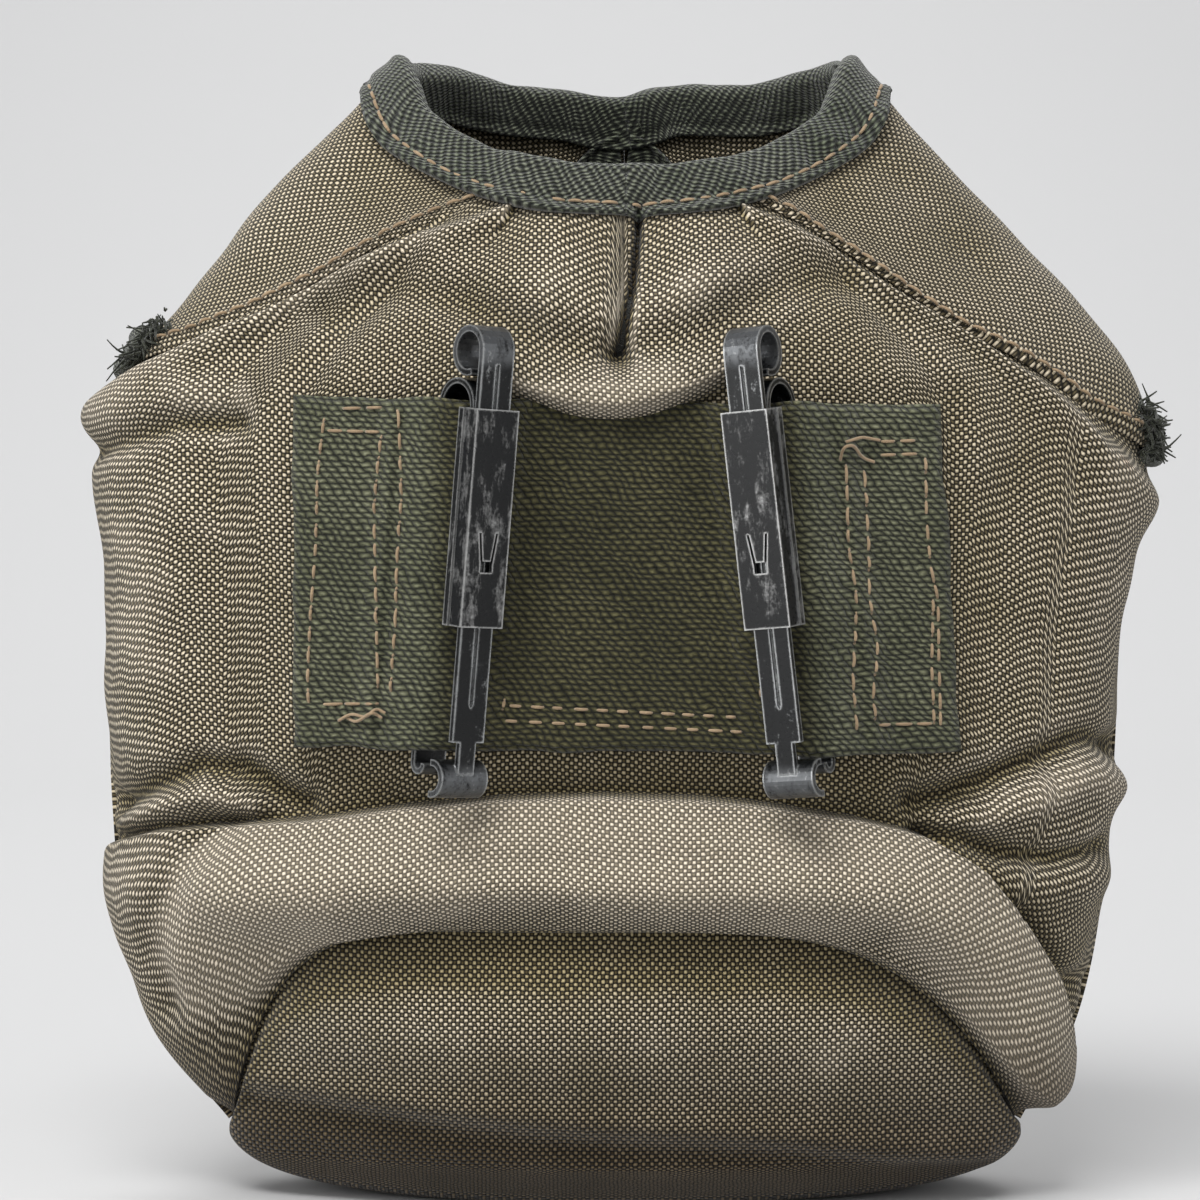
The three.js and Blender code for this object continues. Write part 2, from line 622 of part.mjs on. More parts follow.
// The origin is under the middle of the whole cover, on the surface that it stands on.
const whole = new THREE.Box3().setFromObject(product, true);
product.position.set(-(whole.min.x + whole.max.x) / 2, -(whole.min.y + whole.max.y) / 2, -whole.min.z);

export default product;
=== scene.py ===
"""A canvas belt cover for a one-quart canteen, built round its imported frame.

Metres, +Z up, belt side to -Y. The sections follow the way the cover is put together.
"""
import math

import bpy
import numpy as np
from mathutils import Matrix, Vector


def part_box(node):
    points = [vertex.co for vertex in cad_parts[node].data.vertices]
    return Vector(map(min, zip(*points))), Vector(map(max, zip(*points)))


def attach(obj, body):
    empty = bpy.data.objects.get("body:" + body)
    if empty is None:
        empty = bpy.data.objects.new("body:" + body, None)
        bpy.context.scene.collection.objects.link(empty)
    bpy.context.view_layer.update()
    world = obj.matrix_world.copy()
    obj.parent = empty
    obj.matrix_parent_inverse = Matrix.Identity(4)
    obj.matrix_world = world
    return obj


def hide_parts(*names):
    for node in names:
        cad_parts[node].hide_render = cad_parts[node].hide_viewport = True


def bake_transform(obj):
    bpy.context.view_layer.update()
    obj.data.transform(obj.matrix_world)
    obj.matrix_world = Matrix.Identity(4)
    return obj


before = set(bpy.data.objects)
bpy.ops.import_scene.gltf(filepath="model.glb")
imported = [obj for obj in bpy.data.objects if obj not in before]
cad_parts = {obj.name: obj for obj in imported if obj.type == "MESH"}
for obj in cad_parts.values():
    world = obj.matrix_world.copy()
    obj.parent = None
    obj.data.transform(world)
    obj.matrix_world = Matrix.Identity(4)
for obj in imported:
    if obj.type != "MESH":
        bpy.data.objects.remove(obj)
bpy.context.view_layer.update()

MM = 0.001
random = np.random.default_rng(1957)

# ---- studio ---------------------------------------------------------------------------------
# A pale sweep of card behind and under the cover, a large soft light high in front, a fill from
# each side, and the camera square to the belt side, a little above its middle.


class Value:
    """A socket in a material, so that shader maths reads as arithmetic."""

    def __init__(self, finish, socket):
        self.finish = finish
        self.socket = socket

    def math(self, operation, other=0.0, swapped=False):
        pair = (other, self) if swapped else (self, other)
        return self.finish.node("ShaderNodeMath", {"operation": operation}, {0: pair[0], 1: pair[1]})

    def __add__(self, other):
        return self.math("ADD", other)

    def __sub__(self, other):
        return self.math("SUBTRACT", other)

    def __mul__(self, other):
        return self.math("MULTIPLY", other)

    def __truediv__(self, other):
        return self.math("DIVIDE", other)

    def __pow__(self, other):
        return self.math("POWER", other)

    def __rsub__(self, other):
        return self.math("SUBTRACT", other, swapped=True)

    __radd__ = __add__
    __rmul__ = __mul__

    def __abs__(self):
        return self.math("ABSOLUTE")

    def sine(self):
        return self.math("SINE")

    def least(self, other):
        return self.math("MINIMUM", other)

    def most(self, other):
        return self.math("MAXIMUM", other)

    def eased(self, low, high, to_low=0.0, to_high=1.0):
        span = {0: self, 1: low, 2: high, 3: to_low, 4: to_high}
        return self.finish.node("ShaderNodeMapRange", {"interpolation_type": "SMOOTHSTEP"}, span)


class Finish:
    """A material under construction: node() adds any node, and paint() ends at the shader."""

    def __init__(self, name):
        self.material = bpy.data.materials.new(name)
        self.material.use_nodes = True
        self.tree = self.material.node_tree
        self.shader = self.tree.nodes["Principled BSDF"]

    def node(self, kind, settings=None, inputs=None, output=0):
        made = self.tree.nodes.new(kind)
        for key, value in (settings or {}).items():
            if key == "stops":
                self.set_stops(made.color_ramp, value)
            else:
                setattr(made, key, value)
        for key, value in (inputs or {}).items():
            self.feed(made.inputs[key], value)
        return Value(self, made.outputs[output])

    def feed(self, socket, value):
        if isinstance(value, Value):
            self.tree.links.new(value.socket, socket)
        else:
            socket.default_value = value

    def set_stops(self, ramp, stops):
        while len(ramp.elements) < len(stops):
            ramp.elements.new(1.0)
        for element, (place, colour) in zip(ramp.elements, stops):
            element.position = place
            element.color = (*colour, 1.0)

    def noise(self, where, scale, detail=3.0, roughness=0.55):
        inputs = {"Vector": where, "Scale": scale, "Detail": detail, "Roughness": roughness}
        return self.node("ShaderNodeTexNoise", None, inputs)

    def place(self):
        """Places in the object's own space, in metres."""
        return self.node("ShaderNodeTexCoord", output=3)

    def part(self, vector, index):
        return self.node("ShaderNodeSeparateXYZ", None, {0: vector}, index)

    def cloth(self):
        """Flat cloth coordinates in metres, and their two lengths."""
        cloth = self.node("ShaderNodeUVMap", {"uv_map": "cloth"})
        return cloth, self.part(cloth, 0), self.part(cloth, 1)

    def stretched(self, vector, scales):
        return self.node("ShaderNodeVectorMath", {"operation": "MULTIPLY"}, {0: vector, 1: scales})

    def ramp(self, share, stops):
        return self.node("ShaderNodeValToRGB", {"stops": stops}, {0: share})

    def mixed(self, share, first, second, blend="MIX"):
        colours = [c if isinstance(c, Value) else (*c, 1.0) for c in (first, second)]
        settings = {"data_type": "RGBA", "blend_type": blend}
        return self.node("ShaderNodeMix", settings, {0: share, 6: colours[0], 7: colours[1]}, 2)

    def tinted(self, first, second, share=1.0):
        return self.mixed(share, first, second, "MULTIPLY")

    def paint(self, colour, roughness, height=None, depth=0.0, **fixed):
        self.feed(self.shader.inputs["Base Color"], colour if isinstance(colour, Value) else (*colour, 1.0))
        self.feed(self.shader.inputs["Roughness"], roughness)
        for name, value in fixed.items():
            self.feed(self.shader.inputs[name.replace("_", " ")], value)
        if height is not None:
            bump = self.node("ShaderNodeBump", None, {"Strength": 1.0, "Distance": depth, "Height": height})
            self.feed(self.shader.inputs["Normal"], bump)
        return self.material


def mesh_object(name, points, faces, material):
    mesh = bpy.data.meshes.new(name)
    mesh.from_pydata(points.tolist(), [], faces.tolist())
    mesh.polygons.foreach_set("use_smooth", np.ones(len(mesh.polygons), bool))
    mesh.materials.append(material)
    made = bpy.data.objects.new(name, mesh)
    bpy.context.scene.collection.objects.link(made)
    return made


def sweep_of_card():
    card_width = 4.0
    card_top = 3.0
    front_edge = -1.6
    bend_start = 0.75
    bend_radius = 0.5
    bend_steps = 16
    side = [(front_edge, 0.0), (bend_start, 0.0)]
    for step in range(1, bend_steps + 1):
        turn = math.pi / 2 * step / bend_steps
        side.append((bend_start + bend_radius * math.sin(turn), bend_radius * (1 - math.cos(turn))))
    side.append((bend_start + bend_radius, card_top))
    points = [(x, y, z) for y, z in side for x in (-card_width / 2, card_width / 2)]
    faces = [(2 * k, 2 * k + 1, 2 * k + 3, 2 * k + 2) for k in range(len(side) - 1)]
    pale = Finish("pale_card").paint((0.52, 0.52, 0.52), 0.9)
    card = mesh_object("card_sweep", np.array(points), np.array(faces), pale)


def soft_light(name, place, aim, size, power):
    lamp = bpy.data.lights.new(name, "AREA")
    lamp.shape = "RECTANGLE"
    lamp.size, lamp.size_y = size
    lamp.energy = power
    light = bpy.data.objects.new(name, lamp)
    light.location = place
    light.rotation_euler = (Vector(aim) - Vector(place)).to_track_quat("-Z", "Y").to_euler()
    bpy.context.scene.collection.objects.link(light)


def camera_at(aim, distance, elevation, view_width):
    lens = bpy.data.cameras.new("camera")
    lens.sensor_width = 36.0
    lens.lens = lens.sensor_width * distance / view_width
    camera = bpy.data.objects.new("camera", lens)
    tilt = math.radians(elevation)
    camera.location = Vector(aim) + distance * Vector((0, -math.cos(tilt), math.sin(tilt)))
    camera.rotation_euler = (math.pi / 2 - tilt, 0, 0)
    bpy.context.scene.collection.objects.link(camera)
    bpy.context.scene.camera = camera


sweep_of_card()
soft_light("key_light", (-0.25, -0.75, 1.15), (0, 0, 0.1), (0.8, 0.5), 16)
soft_light("fill_left", (-1.0, -0.7, 0.3), (0, 0, 0.1), (0.7, 0.9), 6.5)
soft_light("fill_right", (1.0, -0.7, 0.35), (0, 0, 0.1), (0.7, 0.9), 3)
soft_light("rear_light", (0.0, 0.9, 1.0), (0, 0, 0.1), (0.8, 0.8), 10)
world = bpy.data.worlds.new("room")
world.use_nodes = True
world.node_tree.nodes["Background"].inputs["Color"].default_value = (0.86, 0.87, 0.9, 1)
world.node_tree.nodes["Background"].inputs["Strength"].default_value = 0.42
bpy.context.scene.world = world
bpy.context.scene.view_settings.view_transform = "Standard"
camera_at((-0.0043, 0, 0.1019), 0.82, 3.0, 0.205)

# ---- the pouch's form -----------------------------------------------------------------------
# The whole cover is one lofted form, from the bottom seam at height 0 to the neck at height 1.
# Angle 0 is the +X side and the belt side lies between a half and a full turn.
half_width = 88 * MM
back_depth = 35 * MM
front_depth = 41 * MM
shoulder_height = 134 * MM
neck_half_width = 40 * MM
neck_back_height = 174 * MM
neck_front_height = 188 * MM
neck_peak_height = 190 * MM
seam_half_width = 68 * MM
seam_back_height = 47 * MM
seam_side_height = 12 * MM
seam_squareness_left = 6
seam_squareness_right = 3
right_taken_in = [0, 4.5, 4.5, 3, 0, 0, 0]
eyelet_low, eyelet_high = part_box("drain_eyelet")
form_centre_y = (eyelet_low.y + eyelet_high.y) / 2
canvas_thickness = 1.4 * MM
upper_slope = 170
PI = math.pi
PROBE = 0.004


def smooth(value):
    clipped = np.clip(value, 0.0, 1.0)
    return clipped * clipped * (3 - 2 * clipped)


def hump(value, width):
    """1 at zero, falling smoothly away over about the width to each side."""
    return np.exp(-(value / width) ** 2)


def signed_power(value, power):
    return np.sign(value) * np.abs(value) ** power


def level_table(angle):
    """Places of the form's seven levels at each angle."""
    sideways = np.abs(np.cos(angle))
    belt = np.sin(angle) < 0
    right = np.cos(angle) > 0
    middle = 1 - sideways ** np.where(right, float(seam_squareness_right), seam_squareness_left)
    rise = np.where(belt, (seam_back_height - seam_side_height) * middle, 0)
    seam = seam_side_height + rise
    roll = seam_side_height + 20 * MM + rise * 0.66
    neck_belt = neck_back_height + (neck_peak_height - neck_back_height) * sideways**3
    neck_front = neck_front_height + (neck_peak_height - neck_front_height) * sideways**2
    neck = np.where(belt, neck_belt, neck_front)
    flat = np.ones_like(angle)
    heights = [seam, roll, shoulder_height * 0.49 * flat, shoulder_height * 0.75 * flat,
               shoulder_height * flat, shoulder_height + (neck - shoulder_height) * 0.5, neck]
    widths = [seam_half_width, half_width - 5 * MM, half_width, half_width, half_width,
              (half_width + neck_half_width) / 2 + 2 * MM, neck_half_width]
    backs = [back_depth - 3 * MM, back_depth + 4.5 * MM, back_depth, back_depth, back_depth,
             (back_depth + 25 * MM) / 2 + 2 * MM, 25 * MM]
    fronts = [front_depth - 6 * MM, front_depth - 1 * MM, front_depth, front_depth,
              front_depth - 1 * MM, (front_depth + 27 * MM) / 2 + 1 * MM, 27 * MM]
    powers = [0.8, 0.8, 0.8, 0.8, 0.8, 0.88, 1.0]
    points = []
    levels = zip(widths, backs, fronts, heights, powers, right_taken_in)
    for width, back, front, height, power, less in levels:
        across = (width - np.where(right, less * MM, 0)) * signed_power(np.cos(angle), power)
        deep = np.where(belt, back, front) * signed_power(np.sin(angle), power)
        points.append(np.stack([across, deep + form_centre_y, height], -1))
    return np.stack(points)


def form_point(angle, height):
    """Points of the form at arrays of angle and height, by uniform Catmull-Rom up each column."""
    angle, height = np.broadcast_arrays(np.asarray(angle, float), np.asarray(height, float))
    table = level_table(angle)
    last = len(table) - 1
    table = np.concatenate([2 * table[:1] - table[1:2], table, 2 * table[-1:] - table[-2:-1]])
    run = height * last
    piece = np.clip(np.floor(run).astype(int), 0, last - 1)
    s = (run - piece)[..., None]

    def level(offset):
        index = np.broadcast_to((piece + offset)[None, ..., None], (1, *angle.shape, 3))
        return np.take_along_axis(table, index, 0)[0]

    before, start, end, after = level(0), level(1), level(2), level(3)
    return 0.5 * (2 * start + (end - before) * s
                  + (2 * before - 5 * start + 4 * end - after) * s * s
                  + (3 * start - before - 3 * end + after) * s * s * s)


def form_slopes(angle, height):
    around = (form_point(angle + PROBE, height) - form_point(angle - PROBE, height)) / (2 * PROBE)
    up = (form_point(angle, height + PROBE) - form_point(angle, height - PROBE)) / (2 * PROBE)
    return around, up


def unit(vectors):
    return vectors / np.linalg.norm(vectors, axis=-1, keepdims=True)


def form_normal(angle, height):
    return unit(np.cross(*form_slopes(angle, height)))


def lifted(points, normals, distance):
    return points + normals * np.asarray(distance)[..., None]


def off_form(angle, height, distance):
    """Places that stand off the form, in metres along its normal."""
    return lifted(form_point(angle, height), form_normal(angle, height), distance)


def seen_flat(points):
    """The x and z of points, in millimetres."""
    return points[..., 0] / MM, points[..., 2] / MM


def unevenness(scale):
    """Returns a function that gives smooth bumps between about -1 and 1, of the given size in mm."""
    count = 14
    directions = random.normal(size=(count, 3))
    directions *= (2 * PI / scale * random.uniform(0.5, 1.1, (count, 1))
                   / np.linalg.norm(directions, axis=1, keepdims=True))
    phases = random.uniform(0, 2 * PI, count)
    return lambda points: sum(
        np.sin(points @ direction / MM + phase) for direction, phase in zip(directions, phases)
    ) / math.sqrt(count) * 0.7


def distance_to(route, x, z):
    """Distance from each place to a bent line, all in millimetres."""
    nearest = np.full(x.shape, 1e9)
    for (ax, az), (bx, bz) in zip(route[:-1], route[1:]):
        along = np.clip(((x - ax) * (bx - ax) + (z - az) * (bz - az))
                        / ((bx - ax) ** 2 + (bz - az) ** 2), 0, 1)
        nearest = np.minimum(nearest, np.hypot(x - ax - along * (bx - ax), z - az - along * (bz - az)))
    return nearest


def crease(route, x, z, width):
    return hump(distance_to(route, x, z), width)


def raised(route, rise):
    return [(x, z + rise) for x, z in route]


# ---- duck canvas ----------------------------------------------------------------------------
# Heavy plain-weave cotton: pale filling yarns show as dots over a dark olive warp, and wear and
# sun have bleached whatever stands out. Shade in folds, creases and towards the bottom is painted
# into the colour, and so is light on the roll's left end. The panels are cut flat and take their
# folds in use.
broad_sag = unevenness(36)
small_sag = unevenness(13)


def run_lengths(points, axis, keep, zero):
    """Lengths along one way of a grid, counting only the kept directions, from a chosen line."""
    steps = np.linalg.norm(np.diff(points, axis=axis) * keep, axis=-1)
    lengths = np.concatenate([np.zeros_like(np.take(steps, [0], axis)), np.cumsum(steps, axis)], axis)
    return lengths - np.take(lengths, [zero], axis)


def upright_cloth(points, plain):
    """Flat cloth coordinates of a panel whose weft runs level and whose warp runs up."""
    level = unit(np.gradient(plain, axis=1) * (1, 1, 0))
    step = np.diff(points, axis=0, prepend=points[:1])
    rise = np.linalg.norm(step - (step * level).sum(-1, keepdims=True) * level, axis=-1)
    across = run_lengths(plain, 1, (1, 1, 0), points.shape[1] // 2)
    return np.stack([across, np.cumsum(rise, 0)], -1)


def sheet(name, outer, inner, material, cloth=None, proud=None, closed=False):
    """A closed sheet between two grids of points; closed joins the last column to the first."""
    rows, columns = outer.shape[:2]
    count = rows * columns
    span = columns if closed else columns - 1
    j, i = np.meshgrid(np.arange(rows - 1), np.arange(span), indexing="ij")
    right = (i + 1) % columns
    top = np.stack([j * columns + i, j * columns + right, (j + 1) * columns + right,
                    (j + 1) * columns + i], -1).reshape(-1, 4)
    low = np.arange(span)
    low_next = (low + 1) % columns
    high = (rows - 1) * columns
    edges = [np.stack([low_next, low, low + count, low_next + count], -1),
             np.stack([high + low, high + low_next, high + low_next + count, high + low + count], -1)]
    if not closed:
        side = np.arange(rows - 1) * columns
        edges.append(np.stack([side, side + columns, side + columns + count, side + count], -1))
        side = side + columns - 1
        edges.append(np.stack([side + columns, side, side + count, side + columns + count], -1))
    faces = np.concatenate([top, top[:, ::-1] + count, *edges])
    outside, inside = outer.reshape(-1, 3), inner.reshape(-1, 3)
    a, b, c = (outside[top[:, k]] for k in range(3))
    if (np.cross(b - a, c - b) * (a - inside[top[:, 0]])).sum() < 0:
        faces = faces[:, ::-1]
    made = mesh_object(name, np.concatenate([outside, inside]), faces, material)
    if cloth is not None:
        layer = made.data.uv_layers.new(name="cloth")
        index = np.zeros(len(made.data.loops), int)
        made.data.loops.foreach_get("vertex_index", index)
        layer.data.foreach_set("uv", np.concatenate([cloth.reshape(-1, 2)] * 2)[index].ravel())
    if proud is not None:
        layer = made.data.attributes.new("proud", "FLOAT", "POINT")
        layer.data.foreach_set("value", np.concatenate([proud.ravel()] * 2).astype(np.float32))
    return made


def duck_canvas():
    yarn = 0.67 * MM
    finish = Finish("duck_canvas")
    cloth, along, up = finish.cloth()
    place = finish.place()
    stray = finish.noise(cloth, 170.0, 2.0)
    cross_stray = finish.noise(cloth, 700.0, 1.0)
    u = along / yarn + (stray - 0.5) * 1.2 + (cross_stray - 0.5) * 0.5
    v = up / yarn + (stray - 0.5) * 1.0 - (cross_stray - 0.5) * 0.5
    weave = (u * PI).sine() * (v * PI).sine()
    proud = finish.node("ShaderNodeAttribute", {"attribute_name": "proud"}, None, 2)
    cloudy = finish.noise(place, 26.0, 4.0, 0.6)
    blotch = finish.noise(place, 90.0, 3.0, 0.6)
    fibre = finish.noise(cloth, 4200.0, 2.0, 0.7)
    # Painted shade and wear: this mask is high on raised, worn canvas and low in folds and creases, where
    # shade is painted.
    wear_and_shade_level = (proud + (cloudy - 0.5) * 0.9 + (blotch - 0.5) * 0.6).least(1.2).most(0.0)
    warp = [(0.0, (0.17, 0.138, 0.082)), (0.22, (0.075, 0.062, 0.036))]
    gap = [(0.42, (0.008, 0.007, 0.006)), (0.56, (0.03, 0.024, 0.015))]
    weft = [(0.67, (0.5, 0.43, 0.32)), (1.0, (0.98, 0.87, 0.71))]
    yarns = finish.ramp(weave * 0.5 + 0.5 + (fibre - 0.5) * 0.22, warp + gap + weft)
    # Dark tint for low places: partly grime in random patches, partly painted shade in folds and creases.
    grime_and_shade_tint = finish.tinted(yarns, (0.5, 0.47, 0.33))
    # Pale canvas for raised places: bleaching wear, and painted light on the roll's left end.
    bleached_and_lit = finish.mixed(0.22, yarns, (0.58, 0.5, 0.385))
    shade = finish.mixed(wear_and_shade_level.least(1.0), grime_and_shade_tint, yarns)
    rust = finish.noise(place, 60.0, 2.0).eased(0.73, 0.8, 0.0, 0.35)
    colour = finish.mixed(wear_and_shade_level.eased(0.6, 1.15), shade, bleached_and_lit)
    # Painted shade: where the mask goes below zero, in deep creases and seams, the canvas is darkened.
    colour = finish.tinted(colour, (0.22, 0.19, 0.15), proud.eased(-0.2, -1.2))
    # Painted shade: the canvas darkens, with a brownish cast, towards the bottom where it turns under.
    over_ground = finish.part(place, 2) + (cloudy - 0.5) * 14 * MM
    painted_low_shade = over_ground.eased(6 * MM, 36 * MM, 1.0, 0.0)
    colour = finish.tinted(colour, (0.26, 0.22, 0.17), painted_low_shade)
    colour = finish.tinted(colour, (0.8, 0.42, 0.2), rust)
    height = abs(weave) ** 0.6 + (fibre - 0.5) * 0.25
    return finish.paint(colour, 0.92, height, 0.22 * MM, Specular_IOR_Level=0.15, Sheen_Weight=0.15)


def dark_pile():
    finish = Finish("dark_pile")
    place = finish.place()
    tufts = finish.noise(place, 900.0, 3.0, 0.7)
    patchy = finish.noise(place, 70.0, 2.0)
    colour = finish.mixed(patchy, (0.012, 0.013, 0.011), (0.035, 0.036, 0.03))
    colour = finish.tinted(colour, (0.35, 0.35, 0.35), tufts.eased(0.35, 0.6, 1.0, 0.0))
    return finish.paint(colour, 0.95, tufts, 1.2 * MM, Sheen_Weight=0.4)


canvas = duck_canvas()
pile = dark_pile()

# ---- belt-side panel ------------------------------------------------------------------------
# One piece of duck from the bottom seam to the neck. The bottom has drawn it into a thick roll
# with a sharp lip, a short dart is stitched under the neck, and it has bellied over the webbing.
roll_lip = [(-89, 59.5), (-78, 63), (-68.4, 64.4), (-52, 65.8), (-37, 68.1), (-21, 69.6), (-4, 70.1),
            (12, 69.6), (24, 68.4), (38.6, 66), (49.4, 63.4), (59.4, 56.5), (67, 48.2), (72.5, 38.4),
            (76, 27)]
left_roll_end = [(-66, 64), (-72.7, 58), (-77.5, 49.1), (-79.5, 42), (-78, 33)]
left_tuck = [(-87, 67.5), (-78, 72.3), (-71, 75.6), (-64, 75.2), (-59, 72), (-54, 69.5)]
left_tuck_ridge = [(-86, 64), (-77, 68.4), (-70, 70.2), (-63, 69)]
right_tuck = [(84, 77.4), (76.7, 79.9), (73.8, 79.6), (69, 77.2), (62, 74.2), (54.5, 71.4), (47.6, 69.9)]
right_pleat = [(49.4, 64.3), (56.2, 64), (63.8, 61.4), (70.6, 60), (79, 61.3)]
right_pucker = [(67, 49.2), (72.5, 43), (76, 38), (80, 36)]
dart = [(2.2, 168.4), (1.9, 162.7), (1, 154.4), (-0.3, 147.8), (-1.2, 144.6)]
shoulder_tuck = [(-88, 127.4), (-81.2, 129.4), (-74, 132.2), (-63.8, 132.4)]
dart_swag_left = [(-2, 143), (-14, 146), (-26, 152), (-37, 154), (-48, 150)]
dart_swag_right = [(0, 143), (14, 148), (26, 155), (36, 156)]
# How far each fold stands out, its route and its half width, all in millimetres.
belt_folds = [
    (-3.0, left_tuck, 2.4), (3.0, left_tuck_ridge, 2.8),
    (-3.2, right_tuck, 2.6), (2.4, raised(right_tuck[:6], -7), 3.6),
    (-2.6, right_pleat, 2.0), (1.6, raised(right_pleat[1:], -6), 3.4), (-2.4, right_pucker, 2.0),
    (-3.0, dart, 0.65), (-1.1, dart, 2.4),
    (-2.2, shoulder_tuck, 2.0), (1.7, raised(shoulder_tuck, 5), 3.4),
    (-1.7, dart_swag_left, 3.4), (1.0, raised(dart_swag_left, 7), 4),
    (-1.6, dart_swag_right, 3.4), (1.0, raised(dart_swag_right, 7), 4),
]
dart_bumps = [(3.2, (12, 156), 8, 11), (3.4, (-10, 156), 8, 11), (-3.0, (-1.4, 143.4), 2.6, 1.8)]
seam_left = [(0.33, 1.0), (0.434, 0.959), (0.566, 0.922), (0.65, 0.883), (0.754, 0.812), (0.88, 0.75),
             (1.0, 0.705)]
seam_gap = 0.0001
lining_faces = (-2.4 * MM, -4.8 * MM)
seam_right = [(0.33, 1.0), (0.408, 0.962), (0.52, 0.915), (0.632, 0.825), (0.701, 0.752), (0.85, 0.67),
              (1.0, 0.63)]


def shoulder_seam(angle):
    """Height of the seam where the shoulder piece laps over the belt-side panel."""
    sideways = np.abs(np.cos(angle))
    left = np.interp(sideways, *zip(*seam_left))
    right = np.interp(sideways, *zip(*seam_right))
    return np.where(np.cos(angle) < 0, left, right)


def past_lip(x, z):
    lip_height = np.interp(x, *zip(*roll_lip))
    return np.sign(z - lip_height) * distance_to(roll_lip, x, z)


def belt_relief(angle, height):
    """How far the belt side stands out of the plain form, in millimetres."""
    points = form_point(angle, height)
    x, z = seen_flat(points)
    over = past_lip(x, z)
    covered = smooth((58 - np.abs(x)) / 5) * smooth((z - 76) / 4) * smooth((141 - z) / 6)
    rise = broad_sag(points) + 0.3 * small_sag(points)
    rise = rise * (1 - 0.8 * covered)
    rise += 4.6 * hump(over + 7.5, 7.5) * (1 - 0.65 * smooth((-x - 62) / 18))
    rise -= 2.4 * crease(left_roll_end, x, z, 3.2)
    groove = smooth((over + 1.2) / 2.4) * np.exp(-np.maximum(over - 1.2, 0) / 7.0)
    rise -= 5.2 * groove
    for high, route, width in belt_folds:
        rise += high * crease(route, x, z, width)
    for high, (at_x, at_z), wide, tall in dart_bumps:
        rise += high * np.exp(-((x - at_x) / wide) ** 2 - ((z - at_z) / tall) ** 2)
    edge = 132.3 + (x + 3) ** 2 * 0.017
    belly = hump(x + 1, 24) * smooth((z - edge + 0.6) / 4)
    rise += 6.6 * belly * np.exp(-np.maximum(z - 138, 0) / 8)
    from_side = np.minimum(angle - PI, 2 * PI - angle)
    rise += 3.0 * hump(from_side - 0.5, 0.26) * smooth((z - 25) / 40)
    below_seam = (shoulder_seam(angle) - height) * upper_slope
    rise += np.where(np.abs(np.cos(angle)) > 0.36, 2.2 * hump(below_seam - 7, 5), 0)
    rise = rise * smooth((below_seam - 1.2) / 6)
    rise = rise * (1 - 0.85 * smooth((height - 0.93) / 0.04))
    rise = rise * (smooth(from_side / 0.14) * 0.8 + 0.2)
    return rise * smooth(height / 0.045) - 1.5 * (1 - smooth(height / 0.045))


def belt_surface(angle, height, offset=0.0):
    """Places on the belt side, with the lip of the roll leaning up over its groove."""
    points = form_point(angle, height)
    relief = belt_relief(angle, height)
    over = past_lip(*seen_flat(points))
    lean = hump(over + 2.2, 3.2) * smooth(np.minimum(angle - PI, 2 * PI - angle) / 0.3)
    points = lifted(points, form_normal(angle, height), relief * MM + offset)
    points[..., 2] += 2.0 * MM * lean
    return points, relief


def add_panel(name, surface, angle, height, offsets, material, node, proud=None):
    """Rides a sheet on the cover in place of its node. offsets are its two faces' standoffs."""
    outer, inner = (surface(angle, height, offset)[0] for offset in offsets)
    made = sheet(name, outer, inner, material, upright_cloth(outer, form_point(angle, height)), proud)
    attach(made, "cover")
    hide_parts(node)
    return made


def belt_panel():
    columns, rows = 400, 270
    share = np.linspace(-1, 1, columns)
    share = 0.62 * share + 0.38 * share**3
    angle = PI * 1.5 + share[None, :] * (PI / 2 - seam_gap)
    height = np.linspace(0.004, 1, rows)[:, None] * (shoulder_seam(angle) + 0.012).clip(0, 0.998)
    relief = belt_relief(angle, height)
    # Curvature: hollows in the relief get painted shade and crowns are lightened as wear.
    bend = -sum(np.gradient(np.gradient(relief, axis=way), axis=way) for way in (0, 1))
    x, z = seen_flat(form_point(angle, height))
    over = past_lip(x, z)
    # The roll is lightened: bleaching wear along it, and painted light on its left end, which turns down away
    # from the lamps.
    left_end = smooth((-40 - x) / 20)
    roll = smooth((-over + 1) / 4) * hump(np.maximum(-over - 14 - 10 * left_end, 0), 9)
    proud = 0.42 + 0.07 * relief + bend + (0.42 + 0.3 * left_end) * roll
    # Painted shade on the canvas beside the roll's left end.
    end_x = np.interp(z, [33, 42, 49, 58, 64], [-78, -79.5, -77.5, -72.7, -66])
    proud = proud - 0.6 * smooth((end_x - x + 1) / 4) * smooth((66 - z) / 3) * smooth((z - 25) / 10)
    # Painted shade lines in the dart, in the groove over the lip, along the bottom seam and in the tucks and
    # pleat.
    proud = np.clip(proud, 0, 1.2) - 2.6 * crease(dart, x, z, 0.7) - 0.7 * hump(over - 0.6, 1.1)
    proud = proud - 1.3 * np.exp(-(height * 90) ** 2) - 0.8 * crease(right_tuck, x, z, 1.0)
    proud = proud - 0.6 * crease(left_tuck, x, z, 1.0) - 0.6 * crease(right_pleat, x, z, 0.9)
    add_panel("belt_panel_canvas", belt_surface, angle, height, (0, -canvas_thickness), canvas,
              "back_panel", proud)


def lining_panel(name, span, top, surface, node):
    angle = np.linspace(*span, 110)[None, :]
    height = np.linspace(0.04, 1, 80)[:, None] * np.minimum(top(angle) - 0.05, 0.94)
    add_panel(name, surface, angle, height, lining_faces, pile, node)


belt_panel()
lining_panel("belt_lining_pile", (PI + 0.03, 2 * PI - 0.03), shoulder_seam, belt_surface, "back_lining")

# ---- front panel ----------------------------------------------------------------------------
# The outer face is nearly plain: one piece of duck with soft sags, gathered a little along its
# bottom seam, and its top edge hidden under the two flaps.


